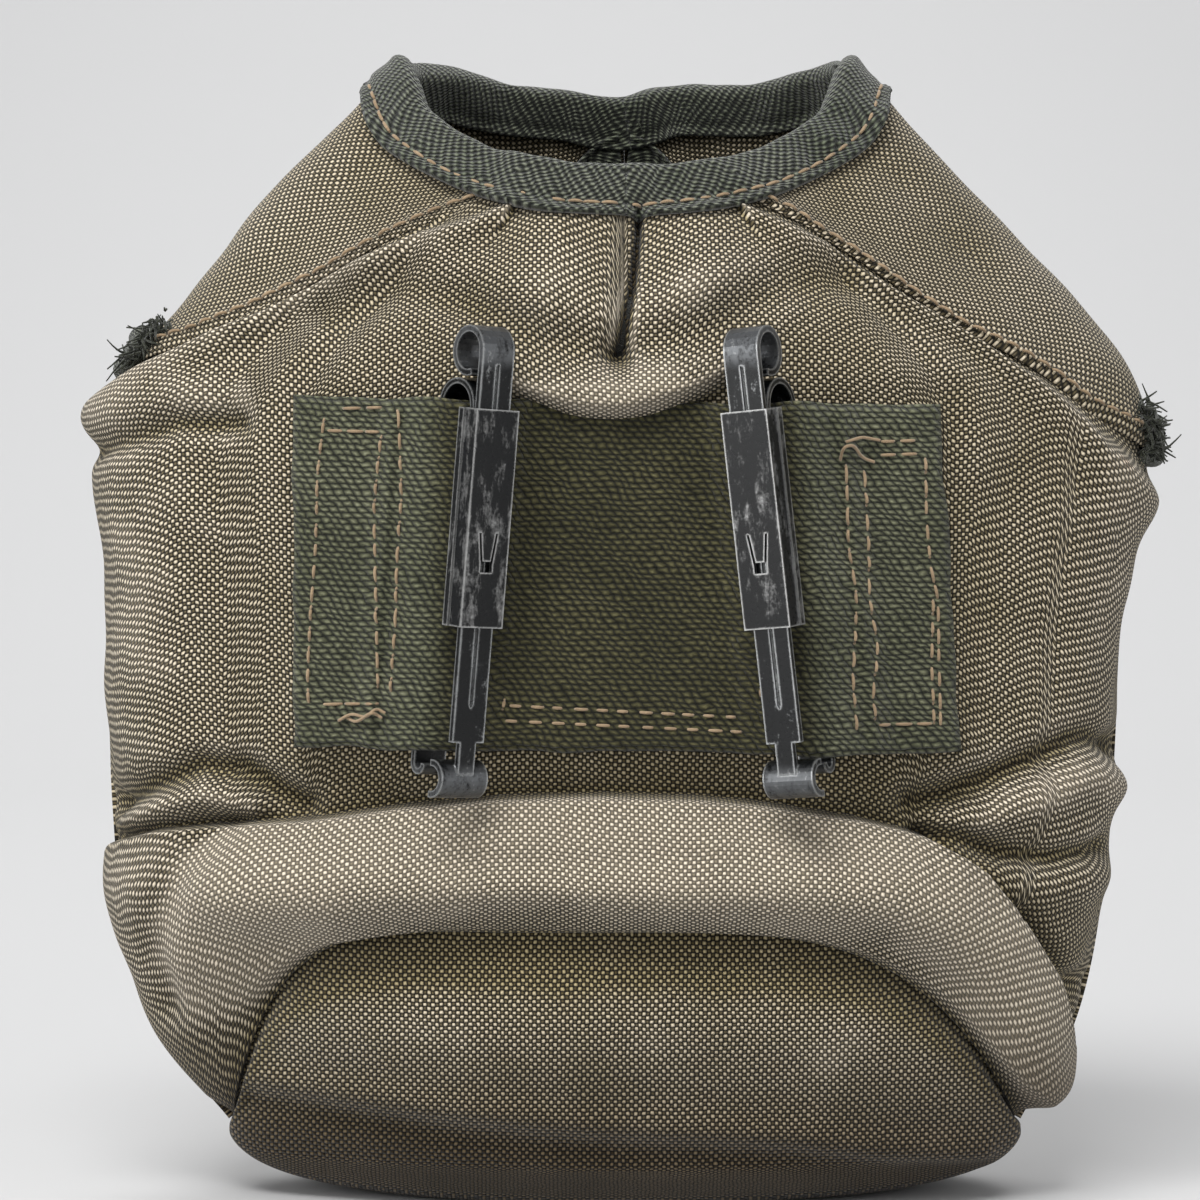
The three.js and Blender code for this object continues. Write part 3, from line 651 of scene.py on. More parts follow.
def front_top(angle):
    return 0.86 - 0.205 * smooth((np.abs(np.cos(angle)) - 0.6) / 0.4)


def front_surface(angle, height, offset=0.0):
    points = form_point(angle, height)
    x, z = seen_flat(points)
    gathers = np.sin(x * 0.42 + 1.2 * np.sin(x * 0.11))
    relief = 1.1 * broad_sag(points) + 0.35 * small_sag(points) + 0.8 * gathers * hump(z - 22, 9)
    relief = relief * (smooth(np.minimum(angle, PI - angle) / 0.15) * 0.85 + 0.15) * smooth(height * 14)
    relief = np.where(height > 0.5, np.minimum(relief, 0.6), relief)
    return lifted(points, form_normal(angle, height), relief * MM + offset), relief


def front_panel():
    share = np.linspace(-1, 1, 200)
    share = 1.35 * share - 0.35 * share**3
    angle = PI / 2 + share[None, :] * (PI / 2 - seam_gap)
    height = np.linspace(0.004, 1, 130)[:, None] * front_top(angle)
    relief = front_surface(angle, height)[1]
    add_panel("front_panel_canvas", front_surface, angle, height, (0, -canvas_thickness), canvas,
              "front_panel", np.clip(0.42 + 0.14 * relief, 0, 1.2))


front_panel()
lining_panel("front_lining_pile", (0.03, PI - 0.03), front_top, front_surface, "front_lining")

# ---- bottom ---------------------------------------------------------------------------------
# An oval of the same duck sewn in at the bottom seam. It has sagged round the canteen's base, so
# it turns under from the seam to a flat foot, with a blackened drain eyelet in a dish at its middle.
foot_half_width = 36 * MM
foot_half_depth = 14 * MM
foot_share = 0.5
eyelet_reach = 4.3 * MM
turned_edge = [(-66, 22), (-38, 19.5), (-10, 16.5), (2, 15.5), (28, 13.7), (45, 10.9), (60, 10)]


def bottom_point(angle, run):
    """run is 1 at the seam, foot_share at the foot's edge and 0 at the middle."""
    seam = form_point(angle, np.zeros_like(angle))
    rim = np.maximum(0, (run - foot_share) / (1 - foot_share))
    bend = (1 - rim) * PI / 2
    share = np.where(rim > 0, np.cos(bend), 0)
    foot_run = np.minimum(run / foot_share, 1)
    foot_x = foot_half_width * np.cos(angle) * foot_run
    foot_y = foot_half_depth * np.sin(angle) * foot_run
    x = foot_x + (seam[..., 0] - foot_x) * share
    y = foot_y + (seam[..., 1] - form_centre_y - foot_y) * share
    height = seam[..., 2] * (1 - np.sin(bend))
    dish = 1.2 * MM * smooth(1 - (np.hypot(x, y) - 7.5 * MM) / (5 * MM))
    return np.stack([x, y + form_centre_y, height + dish], -1)


def bottom_face(angle, run, offset):
    inside = np.minimum(run, 0.9999)
    points = bottom_point(angle, inside)
    ahead = bottom_point(angle + PROBE, inside) - bottom_point(angle - PROBE, inside)
    inward = bottom_point(angle, inside - PROBE) - bottom_point(angle, inside)
    normal = unit(np.cross(inward, ahead))
    tucked = lifted(form_point(angle, np.maximum(run - 1, 0)), form_normal(angle, 0 * run + 0.004), -1.9 * MM)
    allowance = smooth((run - 0.994) / 0.008)[..., None]
    points = points + (tucked - points) * allowance
    x, z = seen_flat(points)
    belt = smooth(-np.sin(angle) * 3)
    relief = (1.5 * crease(turned_edge, x, z, 2.6) - 1.2 * crease(raised(turned_edge, -5), x, z, 2.6)) * belt
    relief = relief + 0.9 * broad_sag(points) * smooth((run - foot_share) * 4)
    relief = relief + 2.4 * belt * hump(z - 36, 11)
    relief = relief * smooth((1 - run) * 16) * smooth(z / 6) - 0.8 * belt * (1 - smooth((1 - run) * 30))
    return lifted(points, normal, relief * MM + offset), relief


def bottom_sheet(name, outer_offset, thickness, reach, node, material, rows, columns):
    angle = np.linspace(0, 2 * PI, columns, endpoint=False)[None, :] + np.zeros((rows, 1))
    inner_run = eyelet_reach / foot_half_width * foot_share / np.hypot(
        np.cos(angle), np.sin(angle) * foot_half_depth / foot_half_width)
    share = np.linspace(0, 1, rows)[:, None] ** 1.25
    run = reach + (inner_run - reach) * share
    outer, relief = bottom_face(angle, run, outer_offset)
    inner, _ = bottom_face(angle, run, outer_offset - thickness)
    z = outer[..., 2] / MM
    belt = np.where(np.sin(angle) < 0, 1, -1)
    turn = smooth(z / 8)
    cloth = np.stack([outer[..., 0], outer[..., 2] * belt * turn
                      + (outer[..., 1] - form_centre_y) * (1 - turn)], -1)
    # Painted light and shade: the bottom is lighter higher up and darker as it turns under, with a painted
    # shade line along the belt-side seam.
    proud = 0.36 + 0.006 * z + 0.03 * relief
    proud = proud - 1.9 * hump(1 - run, 0.045) * smooth(-np.sin(angle) * 2)
    made = sheet(name, outer, inner, material, cloth, np.clip(proud, 0, 1.2), closed=True)
    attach(made, "cover")
    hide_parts(node)


bottom_sheet("bottom_canvas", 0, canvas_thickness, 1.035, "bottom_panel", canvas, 110, 340)
bottom_sheet("bottom_lining_pile", -3.2 * MM, 2.2 * MM, 0.9, "bottom_lining", pile, 40, 120)

# ---- shoulders and flaps --------------------------------------------------------------------
# Each shoulder is one piece of duck that laps over the belt-side panel at a stitched seam, folds
# over the shoulder line and comes down the front as a flap, standing off it by its snap.
flap_thickness = 1.6 * MM
flap_standoff = 3.4
flap_gap_share = 0.0001
flap_sides = {"left": (-1, PI), "right": (1, 2 * PI)}


def neck_height(angle):
    """The neck's edge: lifted a little at its two peaks and uneven where the flaps meet in front."""
    sideways = np.abs(np.cos(angle))
    edge = 1 + 0.015 * smooth((sideways - 0.84) / 0.16)
    dips = 0.013 * hump(np.cos(angle) + 0.02, 0.16) + 0.004 * np.sin(angle * 7 + 0.6)
    return edge - np.where(np.sin(angle) > 0, dips * smooth(np.sin(angle) * 3), 0)


def flap_edge(angle):
    sideways = np.abs(np.cos(angle))
    fold_height = np.where(np.cos(angle) < 0, seam_left[-1][1], seam_right[-1][1])
    return (0.56 + 0.37 * hump(sideways, 0.28)
            + (fold_height - 0.56) * smooth((sideways - 0.6) / 0.4))


def flap_lift(angle):
    """Standoff of the piece's underside from the form, in millimetres, belt side and front."""
    sideways = np.abs(np.cos(angle))
    belt = np.sin(angle) < 0
    near_fold = smooth((sideways - 0.85) / 0.15)
    return np.where(belt, -1.4 + 1.4 * near_fold, flap_standoff * smooth((1 - sideways) / 0.15))


def shoulder_low(angle):
    return np.where(np.sin(angle) < 0, shoulder_seam(angle) - 0.004, flap_edge(angle))


def shoulder_surface(angle, height, offset):
    above_seam = (height - shoulder_low(angle)) * upper_slope
    lap = np.where(np.sin(angle) < 0, 1.45 * (1 - smooth((above_seam - 3.2) / 4)), 0)
    points = form_point(angle, height)
    relief = 0.8 * broad_sag(points) + 0.3 * small_sag(points)
    relief = relief * smooth((1 - height) / 0.05)
    lift = flap_lift(angle) + lap + relief
    return lifted(points, form_normal(angle, height), lift * MM + offset), relief


def shoulder_and_flap(name, sign, fold):
    start = fold - sign * math.acos(0.36)
    end = fold + sign * math.acos(flap_gap_share)
    angle = np.linspace(start, end, 230)[None, :]
    low = shoulder_low(angle)
    height = low + (neck_height(angle) - 0.001 - low) * np.linspace(0, 1, 70)[:, None]
    relief = shoulder_surface(angle, height, 0)[1]
    above_seam = (height - low) * upper_slope
    turned_in = 0.2 + 0.25 * smooth(above_seam / 1.5) + 0.55 * smooth((above_seam - 3.2) / 4)
    turned_in = np.where(np.sin(angle) < 0, turned_in, 1)
    outer = shoulder_surface(angle, height, (flap_thickness - 0.1 * MM) * turned_in)[0]
    inner = shoulder_surface(angle, height, 0.1 * MM)[0]
    proud = np.clip(0.42 + 0.2 * relief + 0.25 * np.exp(-((height - low) * upper_slope / 2) ** 2), 0, 1.2)
    slope = unit(np.array([sign * (half_width - neck_half_width), 0, shoulder_height - neck_peak_height]))
    plain = form_point(angle, height)
    around = run_lengths(plain - (plain @ slope)[..., None] * slope, 1, (1, 1, 1), 120)
    made = sheet(f"shoulder_flap_{name}", outer, inner, canvas, np.stack([plain @ slope, around], -1), proud)
    fold_at(made)
    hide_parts(f"shoulder_{name}", f"flap_{name}")


def fold_at(piece):
    """Bakes the piece's transform into its mesh."""
    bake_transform(piece)


for name, (sign, fold) in flap_sides.items():
    shoulder_and_flap(name, sign, fold)

# ---- binding tape ---------------------------------------------------------------------------
# Knitted-looking cotton tape, grey green, folded over the raw edges of neck, flaps and front
# panel and stitched through. Age has rubbed the neck's thin in places and its ends have frayed.
tape_thickness = 1.0
tape_clearance = 0.35


def tape_finish():
    finish = Finish("binding_tape")
    cloth, along, up = finish.cloth()
    place = finish.place()
    stray = finish.noise(cloth, 260.0, 2.0)
    fibre = finish.noise(cloth, 2400.0, 3.0, 0.7)
    patchy = finish.noise(place, 45.0, 4.0, 0.6)
    u = along / (0.72 * MM) + (stray - 0.5) * 2.4 + (fibre - 0.5) * 0.25
    v = up / (0.62 * MM) + (stray - 0.5) * 1.8 - (fibre - 0.5) * 0.25
    height = (u * PI + v * 0.5 * PI).sine() * (v * PI).sine() * 0.5 + 0.5
    tones = [(0.0, (0.004, 0.005, 0.004)), (0.4, (0.013, 0.014, 0.01)),
             (0.62, (0.062, 0.067, 0.048)), (1.0, (0.25, 0.262, 0.2))]
    tone = finish.ramp(height + (fibre - 0.5) * 0.3, tones)
    colour = finish.mixed(patchy.eased(0.3, 0.7), finish.tinted(tone, (0.6, 0.66, 0.56)), tone)
    return finish.paint(colour, 0.95, height + (fibre - 0.5) * 0.8, 0.45 * MM, Sheen_Weight=0.3,
                        Specular_IOR_Level=0.15)


tape = tape_finish()
tape_wrinkle = unevenness(6)
tape_thin = unevenness(22)


def step_over(angle, height, step):
    """Angle and height after a small step, in metres, over the form."""
    around, up = form_slopes(angle, height)
    aa, ab, bb = (around * around).sum(-1), (around * up).sum(-1), (up * up).sum(-1)
    across, rise = (around * step).sum(-1), (up * step).sum(-1)
    scale = aa * bb - ab * ab
    return angle + (across * bb - rise * ab) / scale, height + (rise * aa - across * ab) / scale


def tape_frame(angle, height_of):
    """Normal and outward direction of an edge, along it."""
    normal = form_normal(angle, height_of(angle))
    ahead, behind = (form_point(a, height_of(a)) for a in (angle + PROBE, angle - PROBE))
    return normal, unit(np.cross(normal, ahead - behind))


def lengths_along(points):
    """Length from the first of a line of points to each of them."""
    return np.r_[0, np.cumsum(np.linalg.norm(np.diff(points, axis=0), axis=1))]


def bound_edge(name, angles, height_of, faces, depth, outward, nodes):
    """A tape folded over an edge. faces gives the bound cloth's two faces, in millimetres."""
    angle = angles[:, None]
    normal, away = tape_frame(angle, height_of)
    away = away * outward
    leg = 12
    crown = 9
    reach = np.r_[np.linspace(1, 0, leg, endpoint=False), np.zeros(crown), np.linspace(0, 1, leg + 1)[1:]]
    bend = np.r_[np.zeros(leg), np.linspace(0, 1, crown), np.ones(leg)] * PI
    depths = np.broadcast_to(np.asarray(depth(angle), float), angle.shape)
    step = -away * (reach * depths * MM)[..., None]
    at_angle, at_height = step_over(angle, height_of(angle), step)
    top, under = faces(at_angle, at_height)
    middle = (top + under) / 2
    base = form_point(at_angle, at_height)
    local = form_normal(at_angle, at_height)
    bead = 0.45 * hump(reach - 0.94, 0.07) - 0.3 * hump(reach - 0.72, 0.1)
    ripple = 0.4 * tape_wrinkle(base) + 0.4 * tape_thin(base)

    def face(extra):
        half_thick = (top - under) / 2 + tape_clearance + extra
        rise = middle + half_thick * np.cos(bend) + (bead + ripple) * (extra > 0) * np.sign(np.cos(bend))
        crest = (tape_clearance + extra) * np.sin(bend) * 1.2 + 0.3 * ripple * (extra > 0)
        return lifted(lifted(base, local, rise * MM), np.broadcast_to(away, base.shape), crest * MM)

    outer, inner = face(tape_thickness), face(0)
    along = np.broadcast_to(lengths_along(outer[:, leg])[:, None], outer.shape[:2])
    across = run_lengths(outer, 1, (1, 1, 1), leg)
    made = sheet(name, outer, inner, tape, np.stack([along, across], -1))
    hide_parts(*nodes)
    return made


def neck_faces(angle, height):
    belt = np.sin(angle) < 0
    seamed = np.abs(np.cos(angle)) > 0.345
    plain = belt_relief(np.clip(angle, PI + 0.006, 2 * PI - 0.006), np.minimum(height, 1.0))
    top = np.where(belt & ~seamed, plain, flap_lift(angle) + flap_thickness / MM - 0.1)
    lap = hump(np.abs(np.cos(angle)) - 0.39, 0.08)
    top = top + np.where(belt, 0.75 * lap, 0)
    return top, top - 1.4


def flap_faces(angle, height):
    lift = flap_lift(angle)
    return lift + 1.5, lift + 0.1


def front_faces(angle, height):
    flat = np.zeros_like(angle)
    return flat, flat - 1.4


def neck_depth(angle):
    return np.where(np.sin(angle) < 0, 8.2, 7.2) + 0.3 * np.sin(angle * 9)


def add_tapes():
    centre = 1.5 * PI
    for name, (sign, fold) in flap_sides.items():
        edge_end = fold + sign * math.acos(flap_gap_share)
        start = centre + sign * 0.0003
        nodes = [f"flap_neck_binding_{name}"] + (["neck_binding"] if name == "left" else [])
        piece = bound_edge(f"neck_tape_{name}", np.linspace(start, edge_end, 260), neck_height,
                           neck_faces, neck_depth, 1, nodes)
        fold_at(piece)
        lower = np.linspace(fold - sign * 0.27, fold + sign * math.acos(0.006), 200)
        piece = bound_edge(f"flap_tape_{name}", lower, shoulder_low, flap_faces, lambda a: 5.5 + 0 * a,
                           -1, [f"flap_edge_binding_{name}"])
        fold_at(piece)
    piece = bound_edge("front_panel_tape", np.linspace(math.acos(0.97), PI - math.acos(0.97), 170), front_top,
                       front_faces, lambda a: 5 + 0 * a, 1, ["front_panel_binding"])
    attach(piece, "cover")


add_tapes()

# ---- belt webbing ---------------------------------------------------------------------------
# A wide strip of heavy olive webbing sewn flat to the belt side at its folded ends and middle. It
# stands off over two slanted tunnels, which hold the rear legs of the keepers.
patch_corners = [(-55.0, 79.0), (55.4, 78.2), (-54.8, 137.2), (51.4, 135.4)]
webbing_length = 110
webbing_height = 57.5
webbing_middle = 107.75
webbing_thickness = 1.6
webbing_end_thickness = 3.0
webbing_clearance = 0.35
flat_half_width = 19
tunnel_half_width = 13.0
tunnel_rise = 6.3
tunnel_places = {-1: (-30.6, 4.6), 1: (28.4, -6.4)}
float_length = 1.6
row_pitch = 0.92
webbing_wave = unevenness(9)


def belt_depth(x, z):
    """Depth of the plain belt side at places given in millimetres, by walking over the form."""
    angle = np.full(x.shape, 1.5 * PI)
    height = np.full(x.shape, 0.5)
    for _ in range(30):
        here = form_point(angle, height) / MM
        angle = angle + (x - here[..., 0]) / 88 * 0.8
        height = height + (z - here[..., 2]) / 132 * 0.7
    return form_point(angle, height)[..., 1] / MM


coarse_x = np.linspace(-57, 57, 39)
coarse_z = np.linspace(76, 140, 9)
coarse_depth = belt_depth(*np.meshgrid(coarse_x, coarse_z))
flat_depth = float(belt_depth(np.zeros(1), np.full(1, webbing_middle))[0])


def webbing_base(x, z):
    row = np.clip((z - coarse_z[0]) / (coarse_z[1] - coarse_z[0]), 0, len(coarse_z) - 1.001)
    column = np.clip((x - coarse_x[0]) / (coarse_x[1] - coarse_x[0]), 0, len(coarse_x) - 1.001)
    j, i = row.astype(int), column.astype(int)
    b, a = row - j, column - i
    depth = ((coarse_depth[j, i] * (1 - a) + coarse_depth[j, i + 1] * a) * (1 - b)
             + (coarse_depth[j + 1, i] * (1 - a) + coarse_depth[j + 1, i + 1] * a) * b)
    return flat_depth + (depth - flat_depth) * smooth((np.abs(x) - flat_half_width) / 3)


def webbing_face(x, z):
    """Outer face's depth and its underside's, in millimetres."""
    under = webbing_clearance * np.ones_like(x)
    thick = webbing_thickness * np.ones_like(x)
    for sign, (place, lean) in tunnel_places.items():
        middle = place + math.tan(math.radians(lean)) * (z - webbing_middle)
        across = np.clip(np.abs(x - middle) / tunnel_half_width, 0, 1)
        under = under + (tunnel_rise - webbing_clearance) * np.cos(across * PI / 2) ** 1.1
        end = smooth((sign * (x - middle) - 8.0) / 1.4)
        thick = thick + (webbing_end_thickness - webbing_thickness) * end
    base = webbing_base(x, z)
    return base - under - thick, base - under


def webbing_finish():
    finish = Finish("belt_webbing")
    cloth, across, up = finish.cloth()
    place = finish.place()
    stray = finish.noise(cloth, 190.0, 2.0)
    fine_stray = finish.noise(cloth, 900.0, 2.0)
    fibre = finish.noise(finish.stretched(cloth, (1.0, 3.5, 1.0)), 2600.0, 3.0, 0.7)
    patchy = finish.noise(place, 60.0, 4.0, 0.6)
    rows = up / (row_pitch * MM) + (stray - 0.5) * 1.2 + (fine_stray - 0.5) * 0.6
    row = finish.node("ShaderNodeMath", {"operation": "FLOOR"}, {0: rows})
    floats = across / (float_length * MM) + row * 0.5 + (stray - 0.5) * 1.6 + (row * 12.9).sine() * 0.2
    floats = floats + (rows - row) * 0.4
    yarn = abs((floats * PI).sine()) ** 0.55 * abs((rows * PI).sine()) ** 0.6
    tones = [(0.0, (0.006, 0.007, 0.005)), (0.3, (0.028, 0.029, 0.019)),
             (0.75, (0.115, 0.116, 0.077)), (1.0, (0.27, 0.27, 0.185))]
    tone = finish.ramp(yarn * 0.9 + (fibre - 0.5) * 0.55 + (fine_stray - 0.5) * 0.35, tones)
    # The middle of the strip is coloured darker and browner than its ends: partly the webbing's own tone,
    # partly painted shade from the recess and the keepers over it.
    centre = finish.tinted(tone, (0.68, 0.62, 0.44))
    ends = finish.tinted(tone, (1.16, 1.18, 1.12))
    colour = finish.mixed(abs(across).eased(0.027, 0.034), centre, ends)
    colour = finish.mixed(patchy.eased(0.35, 0.75), finish.tinted(colour, (0.68, 0.69, 0.64)), colour)
    return finish.paint(colour, 0.93, yarn + fibre * 0.35, 0.42 * MM, Specular_IOR_Level=0.15,
                        Sheen_Weight=0.15)


def webbing(material):
    columns, rows = 170, 90
    u = np.linspace(0, 1, columns)[None, :]
    v = np.linspace(0, 1, rows)[:, None]
    low_left, low_right, high_left, high_right = (np.array(corner)[:, None, None] for corner in patch_corners)
    low = low_left * (1 - u) + low_right * u
    high = high_left * (1 - u) + high_right * u
    x, z = low * (1 - v) + high * v
    wobble = webbing_wave(np.stack([x, 0 * x, z], -1) * MM)
    edge_u = np.minimum(u, 1 - u) * webbing_length
    edge_v = np.minimum(v, 1 - v) * webbing_height
    x = x + 0.4 * wobble * np.exp(-edge_u / 3)
    z = z + 0.4 * wobble * np.exp(-edge_v / 3)
    outer, under = webbing_face(x, z)
    edge = np.clip(np.minimum(edge_u, edge_v) / 1.3, 0, 1)
    rounding = 1 - np.sqrt(1 - (1 - edge) ** 2)
    outer = outer + rounding * (under - outer) * 0.7 - 0.15 * wobble
    under = np.maximum(under, outer + 0.3)
    cloth = np.stack([(u - 0.5) * webbing_length + 0 * v, v * webbing_height + 0 * u], -1) * MM
    strip = sheet("belt_webbing_strip", np.stack([x, outer, z], -1) * MM, np.stack([x, under, z], -1) * MM,
                  material, cloth)
    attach(strip, "cover")
    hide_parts("belt_webbing")


webbing(webbing_finish())

# ---- thread ---------------------------------------------------------------------------------
# Thick tan cotton thread. Each stitch is a short hump of twisted thread that goes down into the
# cloth at both ends; a few have pulled loose or end in a knot.
thread_radius = 0.3


def thread_finish():
    finish = Finish("tan_thread")
    place = finish.place()
    fibre = finish.noise(place, 2600.0, 2.0)
    patchy = finish.noise(place, 160.0, 2.0)
    colour = finish.mixed(patchy, (0.24, 0.165, 0.09), (0.5, 0.37, 0.23))
    colour = finish.tinted(colour, (0.6, 0.55, 0.5), fibre)
    return finish.paint(colour, 0.85, fibre, 0.15 * MM, Sheen_Weight=0.3)


thread = thread_finish()


def tube(path, radii, sides=6):
    """Vertices and faces of a closed tube along a path of points, capped by its end rings."""
    path = np.asarray(path)
    tangent = unit(np.gradient(path, axis=0) + 1e-12)
    helper = np.where(np.abs(tangent[:, 2:3]) < 0.9, [[0.0, 0.0, 1.0]], [[1.0, 0.0, 0.0]])
    side = unit(np.cross(tangent, helper))
    other = np.cross(tangent, side)
    turn = np.linspace(0, 2 * PI, sides, endpoint=False)
    ring = (side[:, None] * np.cos(turn)[None, :, None] + other[:, None] * np.sin(turn)[None, :, None])
    points = path[:, None] + ring * np.asarray(radii)[:, None, None]
    count = len(path)
    faces = []
    for low in range(0, (count - 1) * sides, sides):
        high = low + sides
        faces += [(low + i, low + (i + 1) % sides, high + (i + 1) % sides, high + i) for i in range(sides)]
    for base, order in ((0, -1), ((count - 1) * sides, 1)):
        for k in range(1, sides // 2):
            quad = (base + k - 1, base + k, base + sides - k - 1, base + sides - k)
            faces.append(quad[::order])
    return points.reshape(-1, 3), np.array(faces)


def add_tubes(name, tubes, material):
    points, faces, start = [], [], 0
    for tube_points, tube_faces in tubes:
        points.append(tube_points)
        faces.append(tube_faces + start)
        start += len(tube_points)
    made = mesh_object(name, np.concatenate(points), np.concatenate(faces), material)
    return made


def stitch(start, end, normal, rise):
    """One stitch as a hump between two places on the cloth, all in metres."""
    share = np.linspace(0, 1, 7)[:, None]
    hump = (np.sin(PI * share) ** 0.7) * rise - 0.35
    path = start + (end - start) * share + normal * hump * MM
    taper = 0.75 + 0.25 * np.sin(PI * share[:, 0])
    return tube(path, thread_radius * MM * taper)


def stitches_along(points, normals, pitch, fill=0.8):
    """Stitches at an even pitch along a line of places; fill is each one's share of the pitch."""
    length = lengths_along(points)
    count = max(1, round(length[-1] / pitch))
    jitter = 0.12
    made = []

    def place(distance, values):
        return np.stack([np.interp(distance, length, values[:, k]) for k in range(3)], -1)

    for k in range(count):
        start = (k + random.uniform(0, jitter)) * length[-1] / count
        stop = start + length[-1] / count * (fill + random.uniform(-jitter, jitter))
        made.append(stitch(place(start, points), place(min(stop, length[-1]), points),
                           unit(place((start + stop) / 2, normals)), random.uniform(0.35, 0.6)))
    return made


def webbing_line(route):
    """Places and normals on the webbing's face along a bent line of (x, z) in millimetres."""
    route = np.array(route, float)
    length = lengths_along(route)
    at = np.linspace(0, length[-1], 60)
    x, z = (np.interp(at, length, route[:, k]) for k in range(2))
    depth = webbing_face(x, z)[0] - 0.1
    slope = webbing_face(x + 0.5, z)[0] - webbing_face(x - 0.5, z)[0]
    normals = unit(np.stack([slope, -np.ones_like(x), 0 * x], -1))
    return np.stack([x, depth, z], -1) * MM, normals


left_end_rows = [
    [(-49.5, 133.5), (-50.6, 124), (-50.9, 113), (-51.8, 102), (-52.4, 90.5), (-52.2, 86)],
    [(-40.0, 131), (-41.2, 119), (-41, 106.5), (-40.6, 88.5)],
    [(-37.2, 135), (-36.6, 121.5), (-37.4, 110.5), (-37.8, 99), (-38.6, 88)],
    [(-46.5, 135), (-39.8, 135.2)], [(-49.2, 131.4), (-40.2, 131.2)], [(-50.2, 86.4), (-40, 86.8)],
]
right_end_rows = [
    [(35.8, 126), (36.2, 113), (37.7, 104), (37, 91), (37.7, 82)],
    [(38.9, 125), (39.6, 113), (39.8, 103), (41.3, 96), (40.3, 88.5), (40.8, 83.6)],
    [(49.0, 127), (49.2, 117), (50, 108.5), (51.2, 104), (51.4, 94), (51.8, 81.8)],
    [(50.4, 104), (50.2, 93), (50.7, 82)],
    [(41.2, 129.6), (48.2, 129.8)], [(41.4, 127.4), (48, 127.6)], [(41.4, 83.2), (50.6, 83.2)],
]
middle_rows = [[(-19.5, 86.4), (19.5, 84.4)], [(-20, 83.9), (20.5, 82)], [(22.4, 96), (21.8, 86.5)],
               [(-19.8, 88), (-20.6, 84)]]


def webbing_stitches():
    made = []
    for row in left_end_rows + right_end_rows:
        made += stitches_along(*webbing_line(row), 3.5 * MM)
    for row in middle_rows:
        made += stitches_along(*webbing_line(row), 3.7 * MM, 0.55)
    loops = [
        [(-47.5, 83.6, 0.4), (-45, 85.2, 1.6), (-42.6, 84.4, 0.9), (-41, 86.2, 1.8), (-39.2, 85.2, 0.5)],
        [(-46.4, 84.6, 0.5), (-44.2, 83.6, 1.2), (-41.6, 85.6, 1.9), (-39.8, 84.4, 1.0)],
        [(34.8, 126.4, 0.3), (35.2, 128.8, 1.6), (37, 129.2, 1.9), (38.4, 127, 0.9), (40.8, 126.2, 0.4)],
        [(35.6, 129.6, 1.2), (38.4, 130.4, 1.5), (41.6, 129.8, 0.4)],
    ]
    for loop in loops:
        loop = np.array(loop)
        share = np.linspace(0, len(loop) - 1, 24)
        x, z, rise = (np.interp(share, np.arange(len(loop)), loop[:, k]) for k in range(3))
        kernel = np.ones(5) / 5
        x, z, rise = (np.convolve(np.pad(k, 2, mode="edge"), kernel, mode="valid") for k in (x, z, rise))
        path = np.stack([x, webbing_face(x, z)[0] - rise, z], -1) * MM
        made.append(tube(path, np.full(len(path), thread_radius * 0.9 * MM)))
    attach(add_tubes("webbing_thread", made, thread), "cover")


def edge_stitches(angles, height_of, down, outward, surface, pitch):
    normal, away = tape_frame(angles, height_of)
    at_angle, at_height = step_over(angles, height_of(angles), -away * outward * down * MM)
    return stitches_along(surface(at_angle, at_height), form_normal(at_angle, at_height), pitch)


def on_tape(faces):
    """Gives the outer face of the tape over a bound cloth's faces, sunk a little for the thread."""
    def outside(angle, height):
        top = faces(angle, height)[0] + tape_clearance + tape_thickness - 0.1
        return off_form(angle, height, top * MM)

    return outside


def on_seam(angle, height):
    return shoulder_surface(angle, height, flap_thickness - 0.2 * MM)[0]


def sewing():
    belt_made = []
    for name, (sign, fold) in flap_sides.items():
        neck = np.linspace(1.5 * PI + sign * 0.03, fold - sign * 0.14, 160)
        belt_made += edge_stitches(neck, neck_height, 6.0, 1, on_tape(neck_faces), 3.0 * MM)
        seam = np.linspace(fold - sign * math.acos(0.46), fold - sign * 0.16, 160)
        belt_made += edge_stitches(seam, lambda a: shoulder_seam(a) + 0.013, 0, 1, on_seam, 3.1 * MM)
        flap_made = edge_stitches(np.linspace(fold + sign * 0.3, fold + sign * math.acos(0.1), 120),
                                  neck_height, 5.2, 1, on_tape(neck_faces), 3.0 * MM)
        flap_made += edge_stitches(np.linspace(fold + sign * 0.3, fold + sign * math.acos(0.14), 140),
                                   shoulder_low, 4.0, -1, on_tape(flap_faces), 3.0 * MM)
        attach(add_tubes(f"flap_thread_{name}", flap_made, thread), f"flap_{name}")
    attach(add_tubes("seam_thread", belt_made, thread), "cover")


def fray(name, at, away, body, spread, length, count):
    """A tuft of loose tape fibres from a short line of places, all in metres."""
    made = []
    for _ in range(count):
        root = at[random.integers(len(at))] + random.normal(size=3) * spread
        heading = unit(away + random.normal(size=3) * 0.55)
        curl = random.normal(size=3) * 0.9
        reach = length * random.uniform(0.35, 1.0)
        share = np.linspace(0, 1, 6)[:, None]
        path = root + heading * reach * share + (curl - np.array([0, 0, 0.25])) * reach * share**2
        made.append(tube(path, np.linspace(0.28, 0.12, 6) * MM, 4))
    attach(add_tubes(name, made, tape), body)


